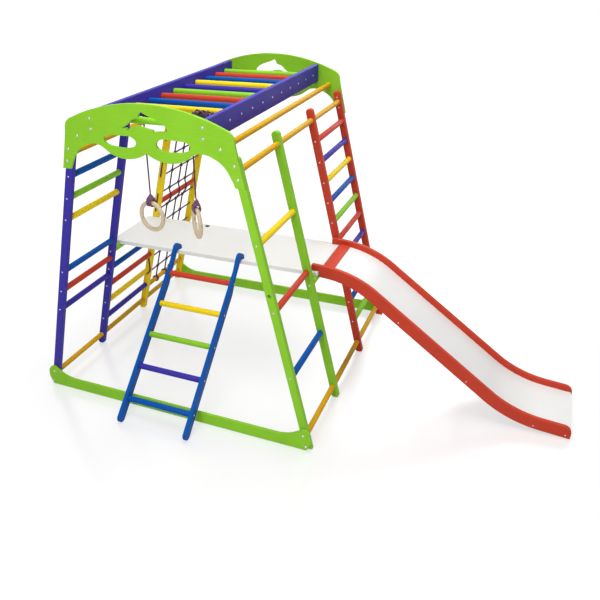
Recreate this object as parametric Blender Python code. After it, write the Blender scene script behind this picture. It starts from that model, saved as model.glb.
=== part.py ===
"""Indoor climbing frame for small children, modelled at its real size.

Eight leaning posts stand on the floor in two rows.  An arch panel and a base beam
close each end, a horizontal ladder runs between the panels, and dowel rungs and a
rope net join the posts.  A loose platform lies on two of the rungs, and carries a
ladder that hooks into it and a slide that rests on its edge.  Two rings hang from
the second overhead rung.

Metres, +Z up.  X runs across the frame towards the slide, Y from the ladder's side
to the back.  The origin lies on the floor under the middle of the whole object.
"""

import math

import bmesh
import bpy
from mathutils import Matrix, Vector

# Fits between pieces
GAP = 0.0003
ROD_CLEARANCE = 0.0003
ROPE_HOLE_CLEARANCE = 0.0006
JOINT_OVERLAP = 0.004
CUT_MARGIN = 0.001

# Frame as a whole
FRAME_DEPTH = 1.196
FRAME_HEIGHT = 1.296
PANEL_THICKNESS = 0.012

# Leaning posts
POST_WIDTH = 0.032
POST_DEPTH = 0.024
POST_TOP_RADIUS = 0.011
POST_TOP_DROP = 0.156
POST_FOOT_X = 0.6089
SECOND_POST_Y = -0.212
THIRD_POST_Y = 0.181

# Arch panel: drops are measured down from the top of the arch, and the x of an outline
# is a share of the distance from the middle to the post at the arch's foot
ARCH_FOOT_X = 0.3544
ARCH_RADIUS = 0.750
ARCH_FOOT_DROP = 0.259
ARCH_FOOT_WIDTH = 0.0355
ARCH_SHOULDER_SHARE = 0.8465
ARCH_SHOULDER = (
    (0.907, 0.0735), (0.944, 0.0905), (0.959, 0.119),
)
ARCH_WAVE = (
    (0.085, 0.1875), (0.164, 0.1955), (0.240, 0.198), (0.316, 0.196), (0.381, 0.19), (0.443, 0.18),
    (0.497, 0.1665), (0.547, 0.157), (0.601, 0.1535), (0.666, 0.156), (0.734, 0.165), (0.804, 0.1795),
    (0.858, 0.1985), (0.903, 0.224),
)
ARCH_NOTCH_DROP = 0.172
EYE_HOLE = (
    (0.113, 0.136), (0.161, 0.118), (0.254, 0.1155), (0.344, 0.1162), (0.435, 0.125), (0.483, 0.1335),
    (0.474, 0.146), (0.435, 0.1535), (0.319, 0.1585), (0.209, 0.158), (0.135, 0.149),
)
DOLPHIN_HOLE = (
    (-0.010, 0.026, "corner"), (0.003, 0.034, "smooth"), (0.016, 0.039, "smooth"),
    (0.036, 0.0455, "smooth"), (0.060, 0.055, "smooth"), (0.079, 0.068, "smooth"),
    (0.090, 0.086, "corner"), (0.074, 0.0885, "smooth"), (0.052, 0.090, "corner"),
    (0.033, 0.0925, "corner"), (0.034, 0.087, "corner"), (0.010, 0.083, "smooth"),
    (-0.016, 0.077, "smooth"), (-0.040, 0.077, "smooth"), (-0.056, 0.083, "smooth"),
    (-0.068, 0.098, "corner"), (-0.074, 0.088, "smooth"), (-0.092, 0.088, "corner"),
    (-0.076, 0.079, "smooth"), (-0.062, 0.069, "smooth"), (-0.050, 0.057, "smooth"),
    (-0.022, 0.047, "corner"), (-0.020, 0.037, "smooth"),
)

# Base beams: the end's outline is measured back from its tip and up from the floor
BEAM_OVERHANG = 0.0141
BEAM_HEIGHT = 0.051
BEAM_FLARE_LENGTH = 0.128
BEAM_END = (
    (0.085, 0.0624), (0.055, 0.0796), (0.031, 0.095), (0.008, 0.082), (0.0, 0.051), (0.007, 0.018),
)
BEAM_FOOT_INSET = 0.018

# Overhead ladder
BOARD_INNER_X = 0.214
BOARD_THICKNESS = 0.020
BOARD_HEIGHT = 0.081
BOARD_TOP_DROP = 0.039
OVERHEAD_RUNG_COUNT = 11
OVERHEAD_RUNG_PITCH = 0.1014

# Dowels
RUNG_DIAMETER = 0.025
ROD_DIAMETER = 0.023
ROUND_SIDES = 12
UPPER_ROD_X = 0.286
UPPER_ROD_DROP = 0.131
HAND_ROD_DROP = 0.204
FLOOR_ROD_HEIGHT = 0.054
NET_ROD_HEIGHT = 0.133

# Side rungs in each bay, from the top down
SUPPORT_RUNG_HEIGHT = 0.521
SIDE_RUNGS = {
    "left": {
        "front": ((1.000, "blue"), (0.909, "green"), (0.818, "yellow"), (0.581, "blue"), (0.488, "red")),
        "middle": ((SUPPORT_RUNG_HEIGHT, "green"), (0.428, "blue"), (0.335, "red")),
        "back": ((0.622, "red"),),
    },
    "right": {
        "front": ((0.831, "yellow"), (0.578, "red"), (0.310, "blue")),
        "middle": (),
        "back": (
            (0.914, "purple"), (0.824, "yellow"), (0.734, "blue"), (0.643, "green"),
            (0.458, "purple"), (0.359, "yellow"), (0.260, "blue"), (0.160, "green"),
        ),
    },
}

# Rungs that are one solid with the posts of their own colour: bay, height, joined ends
JOINED_RUNGS = {
    "left": (("front", 0.396, "both"), ("middle", 0.241, "back"), ("middle", 0.148, "front")),
    "right": (("middle", SUPPORT_RUNG_HEIGHT, "front"), ("back", 1.004, "both"), ("back", 0.554, "both")),
}
POST_SOLIDS = (
    ("left_front_posts", "left", ("post_1", "post_2"), "purple"),
    ("left_post_3", "left", ("post_3",), "yellow"),
    ("left_post_4", "left", ("post_4",), "yellow"),
    ("right_post_1", "right", ("post_1",), "green"),
    ("right_post_2", "right", ("post_2",), "green"),
    ("right_back_posts", "right", ("post_3", "post_4"), "red"),
)
OVERHEAD_COLOURS = (
    "green", "purple", "yellow", "blue", "red", "green", "purple", "yellow", "blue", "red", "green",
)
BOARD_COLOUR = "purple"

# Screw heads, one solid with the panels and beams that they hold
SCREW_HEAD_DIAMETER = 0.013
SCREW_TOP_DIAMETER = 0.008
SCREW_HEAD_HEIGHT = 0.0025
SCREW_SIDES = 8
ARCH_POST_SCREW_DROPS = (0.183, 0.2294)
BOARD_SCREW_DROPS = (0.0244, 0.062)
BASE_SCREW_HEIGHTS = (0.0195, 0.068)

# Rope and net
ROPE_DIAMETER = 0.006
ROPE_SELF_GAP = 0.0008
NET_LOWEST = 0.215
NET_TOP_DROP = 0.0517
NET_ROWS = 10
NET_COLUMNS_Y = (0.282, 0.376, 0.447)
NET_KNOT_SIDES = 8
ROPE_HOLE_SIDES = 6

# Rings and their ropes
RING_DIAMETER = 0.1285
RING_TUBE_DIAMETER = 0.017
RING_HEIGHT = 0.816
RING_RUNG = 1
LEFT_RING_X = -0.112
LEFT_RING_TURN = math.radians(-10)
RIGHT_RING_X = 0.088
RIGHT_RING_TURN = math.radians(108)
WINDING_TURNS = 7
WINDING_POINTS = 16
WRAP_LOOPS = 4
WRAP_POINTS = 18
WRAP_RISE = 0.0155
WRAP_SPREAD = 0.0095
WRAP_TOP_PITCH = 0.0080
WRAP_CLEARANCE = 0.0018
WRAP_TIER_STEP = 0.0061
WRAP_TIER_DROP = 0.0062

# Platform
PLATFORM_LEFT = -0.512
PLATFORM_RIGHT = 0.492
PLATFORM_FRONT = -0.158
PLATFORM_BACK = 0.166
PLATFORM_THICKNESS = 0.018
PLATFORM_CORNER_RADIUS = 0.006
SLOT_CLEARANCE = 0.0015
SLOT_INSET = 0.012
SLOT_WIDTH = 0.020

# Ladder: hook points are measured from the platform's front top edge
LADDER_LEAN = math.radians(43.76)
STILE_THICKNESS = 0.018
STILE_DEPTH = 0.042
STILE_CENTRES = (-0.170, 0.1374)
STILE_NECK_DEPTH = 0.0303
STILE_TAPER_DROP = 0.122
NECK_POINTS = ((-0.077, -0.089), (-0.052, -0.053), (-0.024, -0.023), (-0.012, -0.006))
CROWN_POINTS = ((0.016, 0.0285), (-0.002, 0.0365), (-0.0205, 0.0315), (-0.038, 0.011))
CROWN_FOOT_DROP = 0.026
HOOK_TIP_DEPTH = 0.011
HOOK_TIP_RADIUS = 0.004
HOOK_BEAK_HEIGHT = 0.013
LADDER_TOP_RUNG = 0.475
LADDER_RUNG_DROP = 0.0993
LADDER_RUNG_COUNT = 5

# Slide
RAIL_THICKNESS = 0.018
RAIL_DEPTH = 0.052
RAIL_ABOVE_PLATFORM = 0.028
RAIL_START_X = 0.460
RAIL_FLAT_LENGTH = 0.055
RAIL_FLAT_SLOPE = math.radians(3)
RAIL_CREST_RADIUS = 0.420
RAIL_SLOPE = math.radians(36.2)
RAIL_RUNOUT_RADIUS = 0.400
RAIL_TAIL_SLOPE = math.radians(5)
RAIL_TAIL_LENGTH = 0.110
RAIL_END_RADIUS = 0.032
SLIDE_FRONT = -0.146
SLIDE_BACK = 0.164
BED_BELOW_RAIL = 0.024
BED_THICKNESS = 0.006
STEP_CLEARANCE = 0.0008
STEP_SLANT = 0.005
CROSS_PIECE_INSET = 0.006
CROSS_PIECE_WIDTH = 0.048
CROSS_PIECE_THICKNESS = 0.018
CROSS_PIECE_BELOW_RAIL = 0.019
BATTEN_WIDTH = 0.030
BATTEN_THICKNESS = 0.016
BATTEN_DISTANCES = (0.235, 0.420, 0.605, 0.790, 1.085)

# Colours, linear
COLOURS = {
    "green": (0.262, 0.578, 0.032),
    "purple": (0.065, 0.038, 0.352),
    "yellow": (0.956, 0.610, 0.013),
    "orange": (0.716, 0.328, 0.013),
    "red": (0.680, 0.053, 0.028),
    "blue": (0.010, 0.091, 0.376),
    "white": (0.855, 0.855, 0.840),
    "wood": (0.680, 0.578, 0.402),
    "rope": (0.102, 0.026, 0.080),
    "steel": (0.560, 0.560, 0.560),
}

# Worked out from the sizes above
ARCH_FOOT_Z = FRAME_HEIGHT - ARCH_FOOT_DROP
BEAM_TIP_X = POST_FOOT_X + BEAM_OVERHANG
POST_LEAN = math.atan((POST_FOOT_X - ARCH_FOOT_X) / ARCH_FOOT_Z)
HANDS = {"left": -1, "right": 1}
HALF_DEPTH = FRAME_DEPTH / 2
INNER_Y = HALF_DEPTH - PANEL_THICKNESS
END_POST_Y = INNER_Y - GAP - POST_DEPTH / 2
POST_Y = {"post_1": -END_POST_Y, "post_2": SECOND_POST_Y, "post_3": THIRD_POST_Y, "post_4": END_POST_Y}
BAY_POSTS = {"front": ("post_1", "post_2"), "middle": ("post_2", "post_3"), "back": ("post_3", "post_4")}
POST_TOP = FRAME_HEIGHT - POST_TOP_DROP
BOARD_TOP = FRAME_HEIGHT - BOARD_TOP_DROP
OVERHEAD_RUNG_Z = BOARD_TOP - BOARD_HEIGHT / 2
HAND_ROD_Z = FRAME_HEIGHT - HAND_ROD_DROP
UPPER_ROD_Z = FRAME_HEIGHT - UPPER_ROD_DROP
NET_PITCH = (HAND_ROD_Z - NET_TOP_DROP - NET_LOWEST) / (NET_ROWS - 1)
PLATFORM_BOTTOM = SUPPORT_RUNG_HEIGHT + RUNG_DIAMETER / 2 + GAP
PLATFORM_TOP = PLATFORM_BOTTOM + PLATFORM_THICKNESS
ROPE_RADIUS = ROPE_DIAMETER / 2
STILE_FRONT_Y = PLATFORM_FRONT - STILE_NECK_DEPTH
STILE_HALF_SPAN = STILE_DEPTH / 2 / math.sin(LADDER_LEAN)
STILE_FOOT_Z = STILE_DEPTH / 2


def post_x(height):
    """Distance of a post's axis from the middle of the frame at a height."""
    return POST_FOOT_X - height * math.tan(POST_LEAN)


def stile_middle_y(height):
    """Y of the ladder's middle line at a height."""
    return STILE_FRONT_Y + STILE_HALF_SPAN - (PLATFORM_TOP - height) / math.tan(LADDER_LEAN)


def rung_y(index):
    """Y of an overhead rung, counted from the ladder's side."""
    return (index - (OVERHEAD_RUNG_COUNT - 1) / 2) * OVERHEAD_RUNG_PITCH


def turned(point, angle):
    """A point (x, z) turned about the origin."""
    return Vector((
        point[0] * math.cos(angle) - point[1] * math.sin(angle),
        point[0] * math.sin(angle) + point[1] * math.cos(angle),
    ))


def arc(centre, radius, start, end, steps):
    """Points of an arc between two angles in degrees."""
    points = []
    for step in range(steps + 1):
        angle = math.radians(start + (end - start) * step / steps)
        points.append((centre[0] + radius * math.cos(angle), centre[1] + radius * math.sin(angle)))
    return points


def corners(points):
    """Mark every point of an outline as a corner."""
    return [(point[0], point[1], "corner") for point in points]


def rectangle(low, high, radius, steps=3):
    """A rectangle with rounded corners, as an outline of corner points."""
    points = []
    for x, y, start in (
        (high[0] - radius, high[1] - radius, 0), (low[0] + radius, high[1] - radius, 90),
        (low[0] + radius, low[1] + radius, 180), (high[0] - radius, low[1] + radius, 270),
    ):
        points += arc((x, y), radius, start, start + 90, steps)
    return corners(points)


def slide_edge(offset, start=0.0, end=None, steps=9):
    """Points (x, z) along the rail's top edge, moved down square to it by offset.

    start and end are distances along the edge.
    """
    drop = PLATFORM_TOP + RAIL_ABOVE_PLATFORM - RAIL_DEPTH * math.cos(RAIL_TAIL_SLOPE)
    crest = RAIL_CREST_RADIUS * (math.cos(RAIL_FLAT_SLOPE) - math.cos(RAIL_SLOPE))
    runout = RAIL_RUNOUT_RADIUS * (math.cos(RAIL_TAIL_SLOPE) - math.cos(RAIL_SLOPE))
    flat = RAIL_FLAT_LENGTH * math.sin(RAIL_FLAT_SLOPE)
    tail = RAIL_TAIL_LENGTH * math.sin(RAIL_TAIL_SLOPE)
    ramp = (drop - crest - runout - flat - tail) / math.sin(RAIL_SLOPE)
    stretches = (
        (RAIL_FLAT_LENGTH, RAIL_FLAT_SLOPE, RAIL_FLAT_SLOPE),
        (RAIL_CREST_RADIUS * (RAIL_SLOPE - RAIL_FLAT_SLOPE), RAIL_FLAT_SLOPE, RAIL_SLOPE),
        (ramp, RAIL_SLOPE, RAIL_SLOPE),
        (RAIL_RUNOUT_RADIUS * (RAIL_SLOPE - RAIL_TAIL_SLOPE), RAIL_SLOPE, RAIL_TAIL_SLOPE),
        (RAIL_TAIL_LENGTH, RAIL_TAIL_SLOPE, RAIL_TAIL_SLOPE),
    )
    total = sum(stretch[0] for stretch in stretches)
    end = total if end is None else end
    marks = [start, end]
    travelled = 0.0
    for length, slope, next_slope in stretches:
        pieces = 1 if slope == next_slope else steps
        marks += [travelled + length * piece / pieces for piece in range(pieces + 1)]
        travelled += length
    marks = sorted(mark for mark in set(marks) if start <= mark <= end)
    points = []
    for mark in marks:
        place = Vector((RAIL_START_X, PLATFORM_TOP + RAIL_ABOVE_PLATFORM))
        left = mark
        for length, slope, next_slope in stretches:
            run = min(left, length)
            angle = slope + (next_slope - slope) * run / length
            middle = (slope + angle) / 2
            bend = angle - slope
            chord = run if bend == 0 else run * math.sin(bend / 2) / (bend / 2)
            place += chord * Vector((math.cos(middle), -math.sin(middle)))
            left -= run
            if left <= 0:
                break
        place += offset * Vector((-math.sin(angle), -math.cos(angle)))
        if not points or (place - points[-1]).length > 1e-6:
            points.append(place)
    return points


def slide_point(distance, offset):
    """Point and slope of the slide's edge at a distance along it."""
    ahead = slide_edge(offset, distance, distance + 0.001)
    step = ahead[-1] - ahead[0]
    return ahead[0], math.atan2(-step[1], step[0])


def rail_step_x():
    """X where the rails step down, past the platform and its rung."""
    rung = post_x(SUPPORT_RUNG_HEIGHT) + RUNG_DIAMETER / 2
    return max(rung, PLATFORM_RIGHT) + STEP_CLEARANCE


def slide_foot():
    """Lower end of the rail's top edge."""
    return slide_edge(0.0)[-1]


def object_centre():
    """Middle of the whole object's box on the floor."""
    ladder_front = stile_middle_y(STILE_FOOT_Z) - STILE_DEPTH / 2
    return Vector((
        (slide_foot()[0] - BEAM_TIP_X) / 2,
        (ladder_front + HALF_DEPTH + SCREW_HEAD_HEIGHT) / 2,
        0.0,
    ))


class Bench:
    """Collections, materials and the empties that every piece hangs from."""

    def __init__(self):
        self.parts = bpy.data.collections.new("indoor_climbing_frame")
        self.cutters = bpy.data.collections.new("cutters")
        for group in (self.parts, self.cutters):
            bpy.context.scene.collection.children.link(group)
        self.materials = {}
        self.frame = bpy.data.objects.new("climbing_frame_origin", None)
        self.frame.location = -object_centre()
        self.parts.objects.link(self.frame)

    def material(self, colour):
        """The material of a colour, made on its first use for each piece."""
        material = bpy.data.materials.new(colour)
        material.use_nodes = True
        shader = material.node_tree.nodes["Principled BSDF"]
        shader.inputs["Base Color"].default_value = (*COLOURS[colour], 1.0)
        shader.inputs["Roughness"].default_value = 0.3 if colour == "steel" else 0.5
        shader.inputs["Metallic"].default_value = 1.0 if colour == "steel" else 0.0
        return material

    def pivot(self, name, place):
        """An empty on a joint's axis."""
        empty = bpy.data.objects.new(name, None)
        empty.parent = self.frame
        empty.location = place
        self.parts.objects.link(empty)
        return empty

    def hang(self, piece, pivot=None):
        """Parent a piece, modelled in the frame's own place, to its empty."""
        piece.parent = pivot or self.frame
        if pivot:
            piece.matrix_parent_inverse = Matrix.Translation(-pivot.location)

    def add(self, piece, name, colour, pivot=None):
        """Name, colour and hang a finished piece."""
        piece.name = name
        piece.data.name = name
        piece.data.materials.clear()
        piece.data.materials.append(self.material(colour))
        self.parts.objects.link(piece)
        self.hang(piece, pivot)
        if isinstance(piece.data, bpy.types.Mesh):
            piece.data.shade_smooth()
            piece.data.set_sharp_from_angle(angle=math.radians(35))
        return piece

    def cutter(self, piece, name):
        """Keep a piece as a cutter."""
        piece.name = name
        piece.hide_render = True
        piece.display_type = "WIRE"
        self.cutters.objects.link(piece)
        self.hang(piece)
        return piece


def object_from(bm, name="piece"):
    """A mesh object from a bmesh."""
    mesh = bpy.data.meshes.new(name)
    bm.to_mesh(mesh)
    bm.free()
    return bpy.data.objects.new(name, mesh)


def add_cylinder(bm, start, end, diameter, sides=ROUND_SIDES):
    """Add a closed cylinder between two points."""
    start = Vector(start)
    end = Vector(end)
    axis = end - start
    place = Matrix.Translation((start + end) / 2) @ axis.to_track_quat("Z", "Y").to_matrix().to_4x4()
    bmesh.ops.create_cone(
        bm, cap_ends=True, segments=sides, radius1=diameter / 2, radius2=diameter / 2,
        depth=axis.length, matrix=place,
    )


def rod(start, end, diameter):
    """A straight rod."""
    bm = bmesh.new()
    add_cylinder(bm, start, end, diameter)
    return object_from(bm)


def box(low, high):
    """A plain box between two corners."""
    low = Vector(low)
    high = Vector(high)
    bm = bmesh.new()
    size = high - low
    bmesh.ops.create_cube(bm, size=1.0, matrix=Matrix.Translation((low + high) / 2) @ Matrix.Diagonal((*size, 1)))
    return object_from(bm)


def mesh_from_curve(curve):
    """A closed mesh object from a curve, with its caps welded."""
    holder = bpy.data.objects.new("outline", curve)
    bpy.context.scene.collection.objects.link(holder)
    graph = bpy.context.evaluated_depsgraph_get()
    mesh = bpy.data.meshes.new_from_object(holder.evaluated_get(graph))
    bpy.data.objects.remove(holder)
    bm = bmesh.new()
    bm.from_mesh(mesh)
    bpy.data.meshes.remove(mesh)
    bmesh.ops.remove_doubles(bm, verts=bm.verts, dist=1e-6)
    bmesh.ops.recalc_face_normals(bm, faces=bm.faces)
    return object_from(bm)


def plate(loops, thickness, steps=4):
    """A flat plate in the XY plane; the loops after the first are holes.

    Each loop is a list of (x, y, kind), where kind is corner or smooth.
    """
    curve = bpy.data.curves.new("outline", "CURVE")
    curve.dimensions = "2D"
    curve.fill_mode = "BOTH"
    curve.extrude = thickness / 2
    curve.resolution_u = steps
    for loop in loops:
        spline = curve.splines.new("BEZIER")
        spline.bezier_points.add(len(loop) - 1)
        spline.use_cyclic_u = True
        spline.resolution_u = steps
        for knot, (x, y, kind) in zip(spline.bezier_points, loop):
            knot.co = (x, y, 0.0)
            handle = "VECTOR" if kind == "corner" else "AUTO"
            knot.handle_left_type = handle
            knot.handle_right_type = handle
    return mesh_from_curve(curve)


def stand_across(piece, y):
    """Turn a flat plate upright, with its drawing in X and Z, at a Y."""
    piece.matrix_basis = Matrix.Translation((0, y, 0)) @ Matrix.Rotation(math.radians(90), 4, "X")
    return piece


def stand_along(piece, x):
    """Turn a flat plate upright, with its drawing in Y and Z, at an X."""
    turn = Matrix(((0, 0, 1, x), (1, 0, 0, 0), (0, 1, 0, 0), (0, 0, 0, 1)))
    piece.matrix_basis = turn
    return piece


def tube(points, diameter, resolution):
    """A round tube along points, with filled caps, as a mesh object."""
    curve = bpy.data.curves.new("tube", "CURVE")
    curve.dimensions = "3D"
    curve.bevel_depth = diameter / 2
    curve.bevel_resolution = resolution
    curve.use_fill_caps = True
    spline = curve.splines.new("POLY")
    spline.points.add(len(points) - 1)
    for knot, point in zip(spline.points, points):
        knot.co = (*point, 1.0)
    return mesh_from_curve(curve)


def boolean(piece, other, operation):
    """Add a Boolean modifier."""
    modifier = piece.modifiers.new(operation.lower() + "_" + other.name, "BOOLEAN")
    modifier.operation = operation
    modifier.solver = "EXACT"
    modifier.object = other


def least_gap(points, diameter):
    """Least gap between a wound tube and itself, between points off each other's turn."""
    least = math.inf
    reach = [0.0]
    for first, second in zip(points, points[1:]):
        reach.append(reach[-1] + (second - first).length)
    for i, first in enumerate(points):
        for j in range(i + 1, len(points)):
            if reach[j] - reach[i] < 4 * diameter:
                continue
            least = min(least, (points[j] - first).length - diameter)
    return least


def mirrored(points):
    """The mirror image of an open outline, run backwards."""
    return [(-x, z, kind) for x, z, kind in reversed(points)]


def arch_points(table):
    """Smooth outline points from a table of (share of the foot's x, drop)."""
    return [(ARCH_FOOT_X * share, FRAME_HEIGHT - drop, "smooth") for share, drop in table]


def arch_outline():
    """Outer edge of the arch panel, from the middle of its top, clockwise."""
    centre = FRAME_HEIGHT - ARCH_RADIUS
    right = []
    for share in (0.35, 0.7, 1.0):
        x = ARCH_FOOT_X * ARCH_SHOULDER_SHARE * share
        right.append((x, centre + math.sqrt(ARCH_RADIUS ** 2 - x ** 2), "smooth"))
    right += arch_points(ARCH_SHOULDER)
    right.append((ARCH_FOOT_X + ARCH_FOOT_WIDTH / 2, ARCH_FOOT_Z, "corner"))
    right.append((ARCH_FOOT_X - ARCH_FOOT_WIDTH / 2, ARCH_FOOT_Z, "corner"))
    right += arch_points(reversed(ARCH_WAVE))
    notch = (0.0, FRAME_HEIGHT - ARCH_NOTCH_DROP, "corner")
    return [(0.0, FRAME_HEIGHT, "smooth")] + right + [notch] + mirrored(right)


def screw_heads(bench, name, side, places):
    """Cutter collection object with the screw heads on one face of the frame."""
    bm = bmesh.new()
    turn = Matrix.Rotation(side * math.radians(-90), 4, "X")
    depth = SCREW_HEAD_HEIGHT + CUT_MARGIN
    slope = (SCREW_HEAD_DIAMETER - SCREW_TOP_DIAMETER) / SCREW_HEAD_HEIGHT
    for x, z in places + [(-x, z) for x, z in places]:
        place = Matrix.Translation((x, side * (HALF_DEPTH + SCREW_HEAD_HEIGHT - depth / 2), z))
        bmesh.ops.create_cone(
            bm, cap_ends=True, segments=SCREW_SIDES, radius1=(SCREW_TOP_DIAMETER + slope * depth) / 2,
            radius2=SCREW_TOP_DIAMETER / 2, depth=depth, matrix=place @ turn,
        )
    return bench.cutter(object_from(bm), name)


def arch_screw_places():
    """Right-hand places (x, z) of the screws through an arch panel."""
    places = [(post_x(FRAME_HEIGHT - drop), FRAME_HEIGHT - drop) for drop in ARCH_POST_SCREW_DROPS]
    board_x = BOARD_INNER_X + BOARD_THICKNESS / 2
    places += [(board_x, BOARD_TOP - drop) for drop in BOARD_SCREW_DROPS]
    places.append((UPPER_ROD_X, UPPER_ROD_Z))
    return places


def base_screw_places():
    """Right-hand places (x, z) of the screws through a base beam."""
    return [(post_x(height), height) for height in BASE_SCREW_HEIGHTS]


def arch_panels(bench):
    """The two arch panels; the back one is the front one turned round."""
    eye = arch_points(EYE_HOLE)
    dolphin = [(x, FRAME_HEIGHT - drop, kind) for x, drop, kind in DOLPHIN_HOLE]
    loops = [arch_outline(), eye, mirrored(eye), dolphin]
    for name, side in (("front_arch_panel", -1), ("back_arch_panel", 1)):
        panel = stand_across(plate(loops, PANEL_THICKNESS, 2), -HALF_DEPTH + PANEL_THICKNESS / 2)
        if side > 0:
            panel.matrix_basis = Matrix.Rotation(math.pi, 4, "Z") @ panel.matrix_basis
        bench.add(panel, name, "green")
        boolean(panel, screw_heads(bench, name + "_screw_heads", side, arch_screw_places()), "UNION")


def base_beams(bench):
    """The two base beams, with round flared ends."""
    right = [(BEAM_TIP_X - BEAM_FLARE_LENGTH, BEAM_HEIGHT, "corner")]
    right += [(BEAM_TIP_X - back, height, "smooth") for back, height in BEAM_END]
    right.append((BEAM_TIP_X - BEAM_FOOT_INSET, 0.0, "corner"))
    outline = right + mirrored(right)
    for name, side in (("front_base_beam", -1), ("back_base_beam", 1)):
        beam = stand_across(plate([outline], PANEL_THICKNESS, 3), side * (HALF_DEPTH - PANEL_THICKNESS / 2))
        bench.add(beam, name, "green")
        boolean(beam, screw_heads(bench, name + "_screw_heads", side, base_screw_places()), "UNION")


def post_outline():
    """A right post's outline in X and Z: cut level at the floor, rounded at its top."""
    half = POST_WIDTH / 2
    length = POST_TOP / math.cos(POST_LEAN)
    straight = length - POST_TOP_RADIUS
    top = arc((half - POST_TOP_RADIUS, straight), POST_TOP_RADIUS, 0, 90, 4)
    top += arc((-half + POST_TOP_RADIUS, straight), POST_TOP_RADIUS, 90, 180, 4)
    foot = Vector((POST_FOOT_X, 0.0))
    level = half / math.cos(POST_LEAN)
    points = [(POST_FOOT_X - level, 0.0), (POST_FOOT_X + level, 0.0)]
    points += [tuple(foot + turned(point, POST_LEAN)) for point in top]
    return corners(points)


def post_holes(bench, side, post):
    """Cutter for one post: the holes that the rods and the net's rope go through."""
    y = POST_Y[post]
    reach = POST_DEPTH / 2 + CUT_MARGIN
    rod_hole = ROD_DIAMETER + 2 * ROD_CLEARANCE
    holes = [(HAND_ROD_Z, rod_hole, ROUND_SIDES)]
    if post in BAY_POSTS["middle"]:
        holes.append((FLOOR_ROD_HEIGHT, rod_hole, ROUND_SIDES))
    if side == "left" and post in BAY_POSTS["back"]:
        rope_hole = (ROPE_DIAMETER + 2 * ROPE_HOLE_CLEARANCE) / math.cos(math.pi / ROPE_HOLE_SIDES)
        holes += [(NET_LOWEST + NET_PITCH * row, rope_hole, ROPE_HOLE_SIDES) for row in range(NET_ROWS)]
    bm = bmesh.new()
    for height, diameter, sides in holes:
        x = HANDS[side] * post_x(height)
        add_cylinder(bm, (x, y - reach, height), (x, y + reach, height), diameter, sides)
    return bench.cutter(object_from(bm), f"{side}_{post}_holes")


def rung_span(side, bay, height, joined="none"):
    """Both ends of a side rung; it goes into the posts that it is joined to."""
    front_post, back_post = BAY_POSTS[bay]
    front = POST_Y[front_post] + POST_DEPTH / 2
    back = POST_Y[back_post] - POST_DEPTH / 2
    front += -JOINT_OVERLAP if joined in ("front", "both") else GAP
    back -= -JOINT_OVERLAP if joined in ("back", "both") else GAP
    x = HANDS[side] * post_x(height)
    return (x, front, height), (x, back, height)


def joined_rungs(side, posts_of_solid):
    """Rungs of a post solid, those that join two of its posts first."""
    rungs = []
    for bay, height, ends in JOINED_RUNGS[side]:
        front_post, back_post = BAY_POSTS[bay]
        joined = {"front": {front_post}, "back": {back_post}, "both": {front_post, back_post}}[ends]
        if joined <= set(posts_of_solid):
            rungs.append((bay, height, ends))
    return sorted(rungs, key=lambda rung: rung[2] != "both")


def posts(bench):
    """Eight leaning posts, numbered from the ladder's side to the back."""
    for name, side, names, colour in POST_SOLIDS:
        outline = [(HANDS[side] * x, z, kind) for x, z, kind in post_outline()]
        built = []
        for post in names:
            piece = stand_across(plate([outline], POST_DEPTH), POST_Y[post])
            boolean(piece, post_holes(bench, side, post), "DIFFERENCE")
            built.append(piece)
        base = bench.add(built[0], name, colour)
        rungs = joined_rungs(side, names)
        pieces = [rod(*rung_span(side, *rung), RUNG_DIAMETER) for rung in rungs]
        bridges = sum(ends == "both" for _, _, ends in rungs)
        pieces[bridges:bridges] = built[1:]
        for count, piece in enumerate(pieces, 1):
            boolean(base, bench.cutter(piece, f"{name}_joined_{count}"), "UNION")


def side_rungs(bench):
    """The side rungs, numbered from the top down in each bay."""
    for side, bays in SIDE_RUNGS.items():
        for bay, rungs in bays.items():
            for number, (height, colour) in enumerate(rungs, 1):
                piece = rod(*rung_span(side, bay, height), RUNG_DIAMETER)
                bench.add(piece, f"{side}_{bay}_rung_{number}", colour)


def orange_rods(bench):
    """The long rods that tie the two ends together, and the low rod under the net."""
    reach = INNER_Y - GAP
    hand_x = post_x(HAND_ROD_Z)
    floor_x = post_x(FLOOR_ROD_HEIGHT)
    floor_end = -END_POST_Y + POST_DEPTH / 2 + GAP
    for side, hand in HANDS.items():
        for name, x, z, end in (
            ("upper_rod", UPPER_ROD_X, UPPER_ROD_Z, -reach),
            ("hand_rod", hand_x, HAND_ROD_Z, -reach),
            ("floor_rod", floor_x, FLOOR_ROD_HEIGHT, floor_end),
        ):
            bench.add(rod((hand * x, end, z), (hand * x, -end, z), ROD_DIAMETER), f"{side}_{name}", "orange")
    bench.add(rod(*rung_span("left", "back", NET_ROD_HEIGHT), ROD_DIAMETER), "net_low_rod", "orange")


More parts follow.
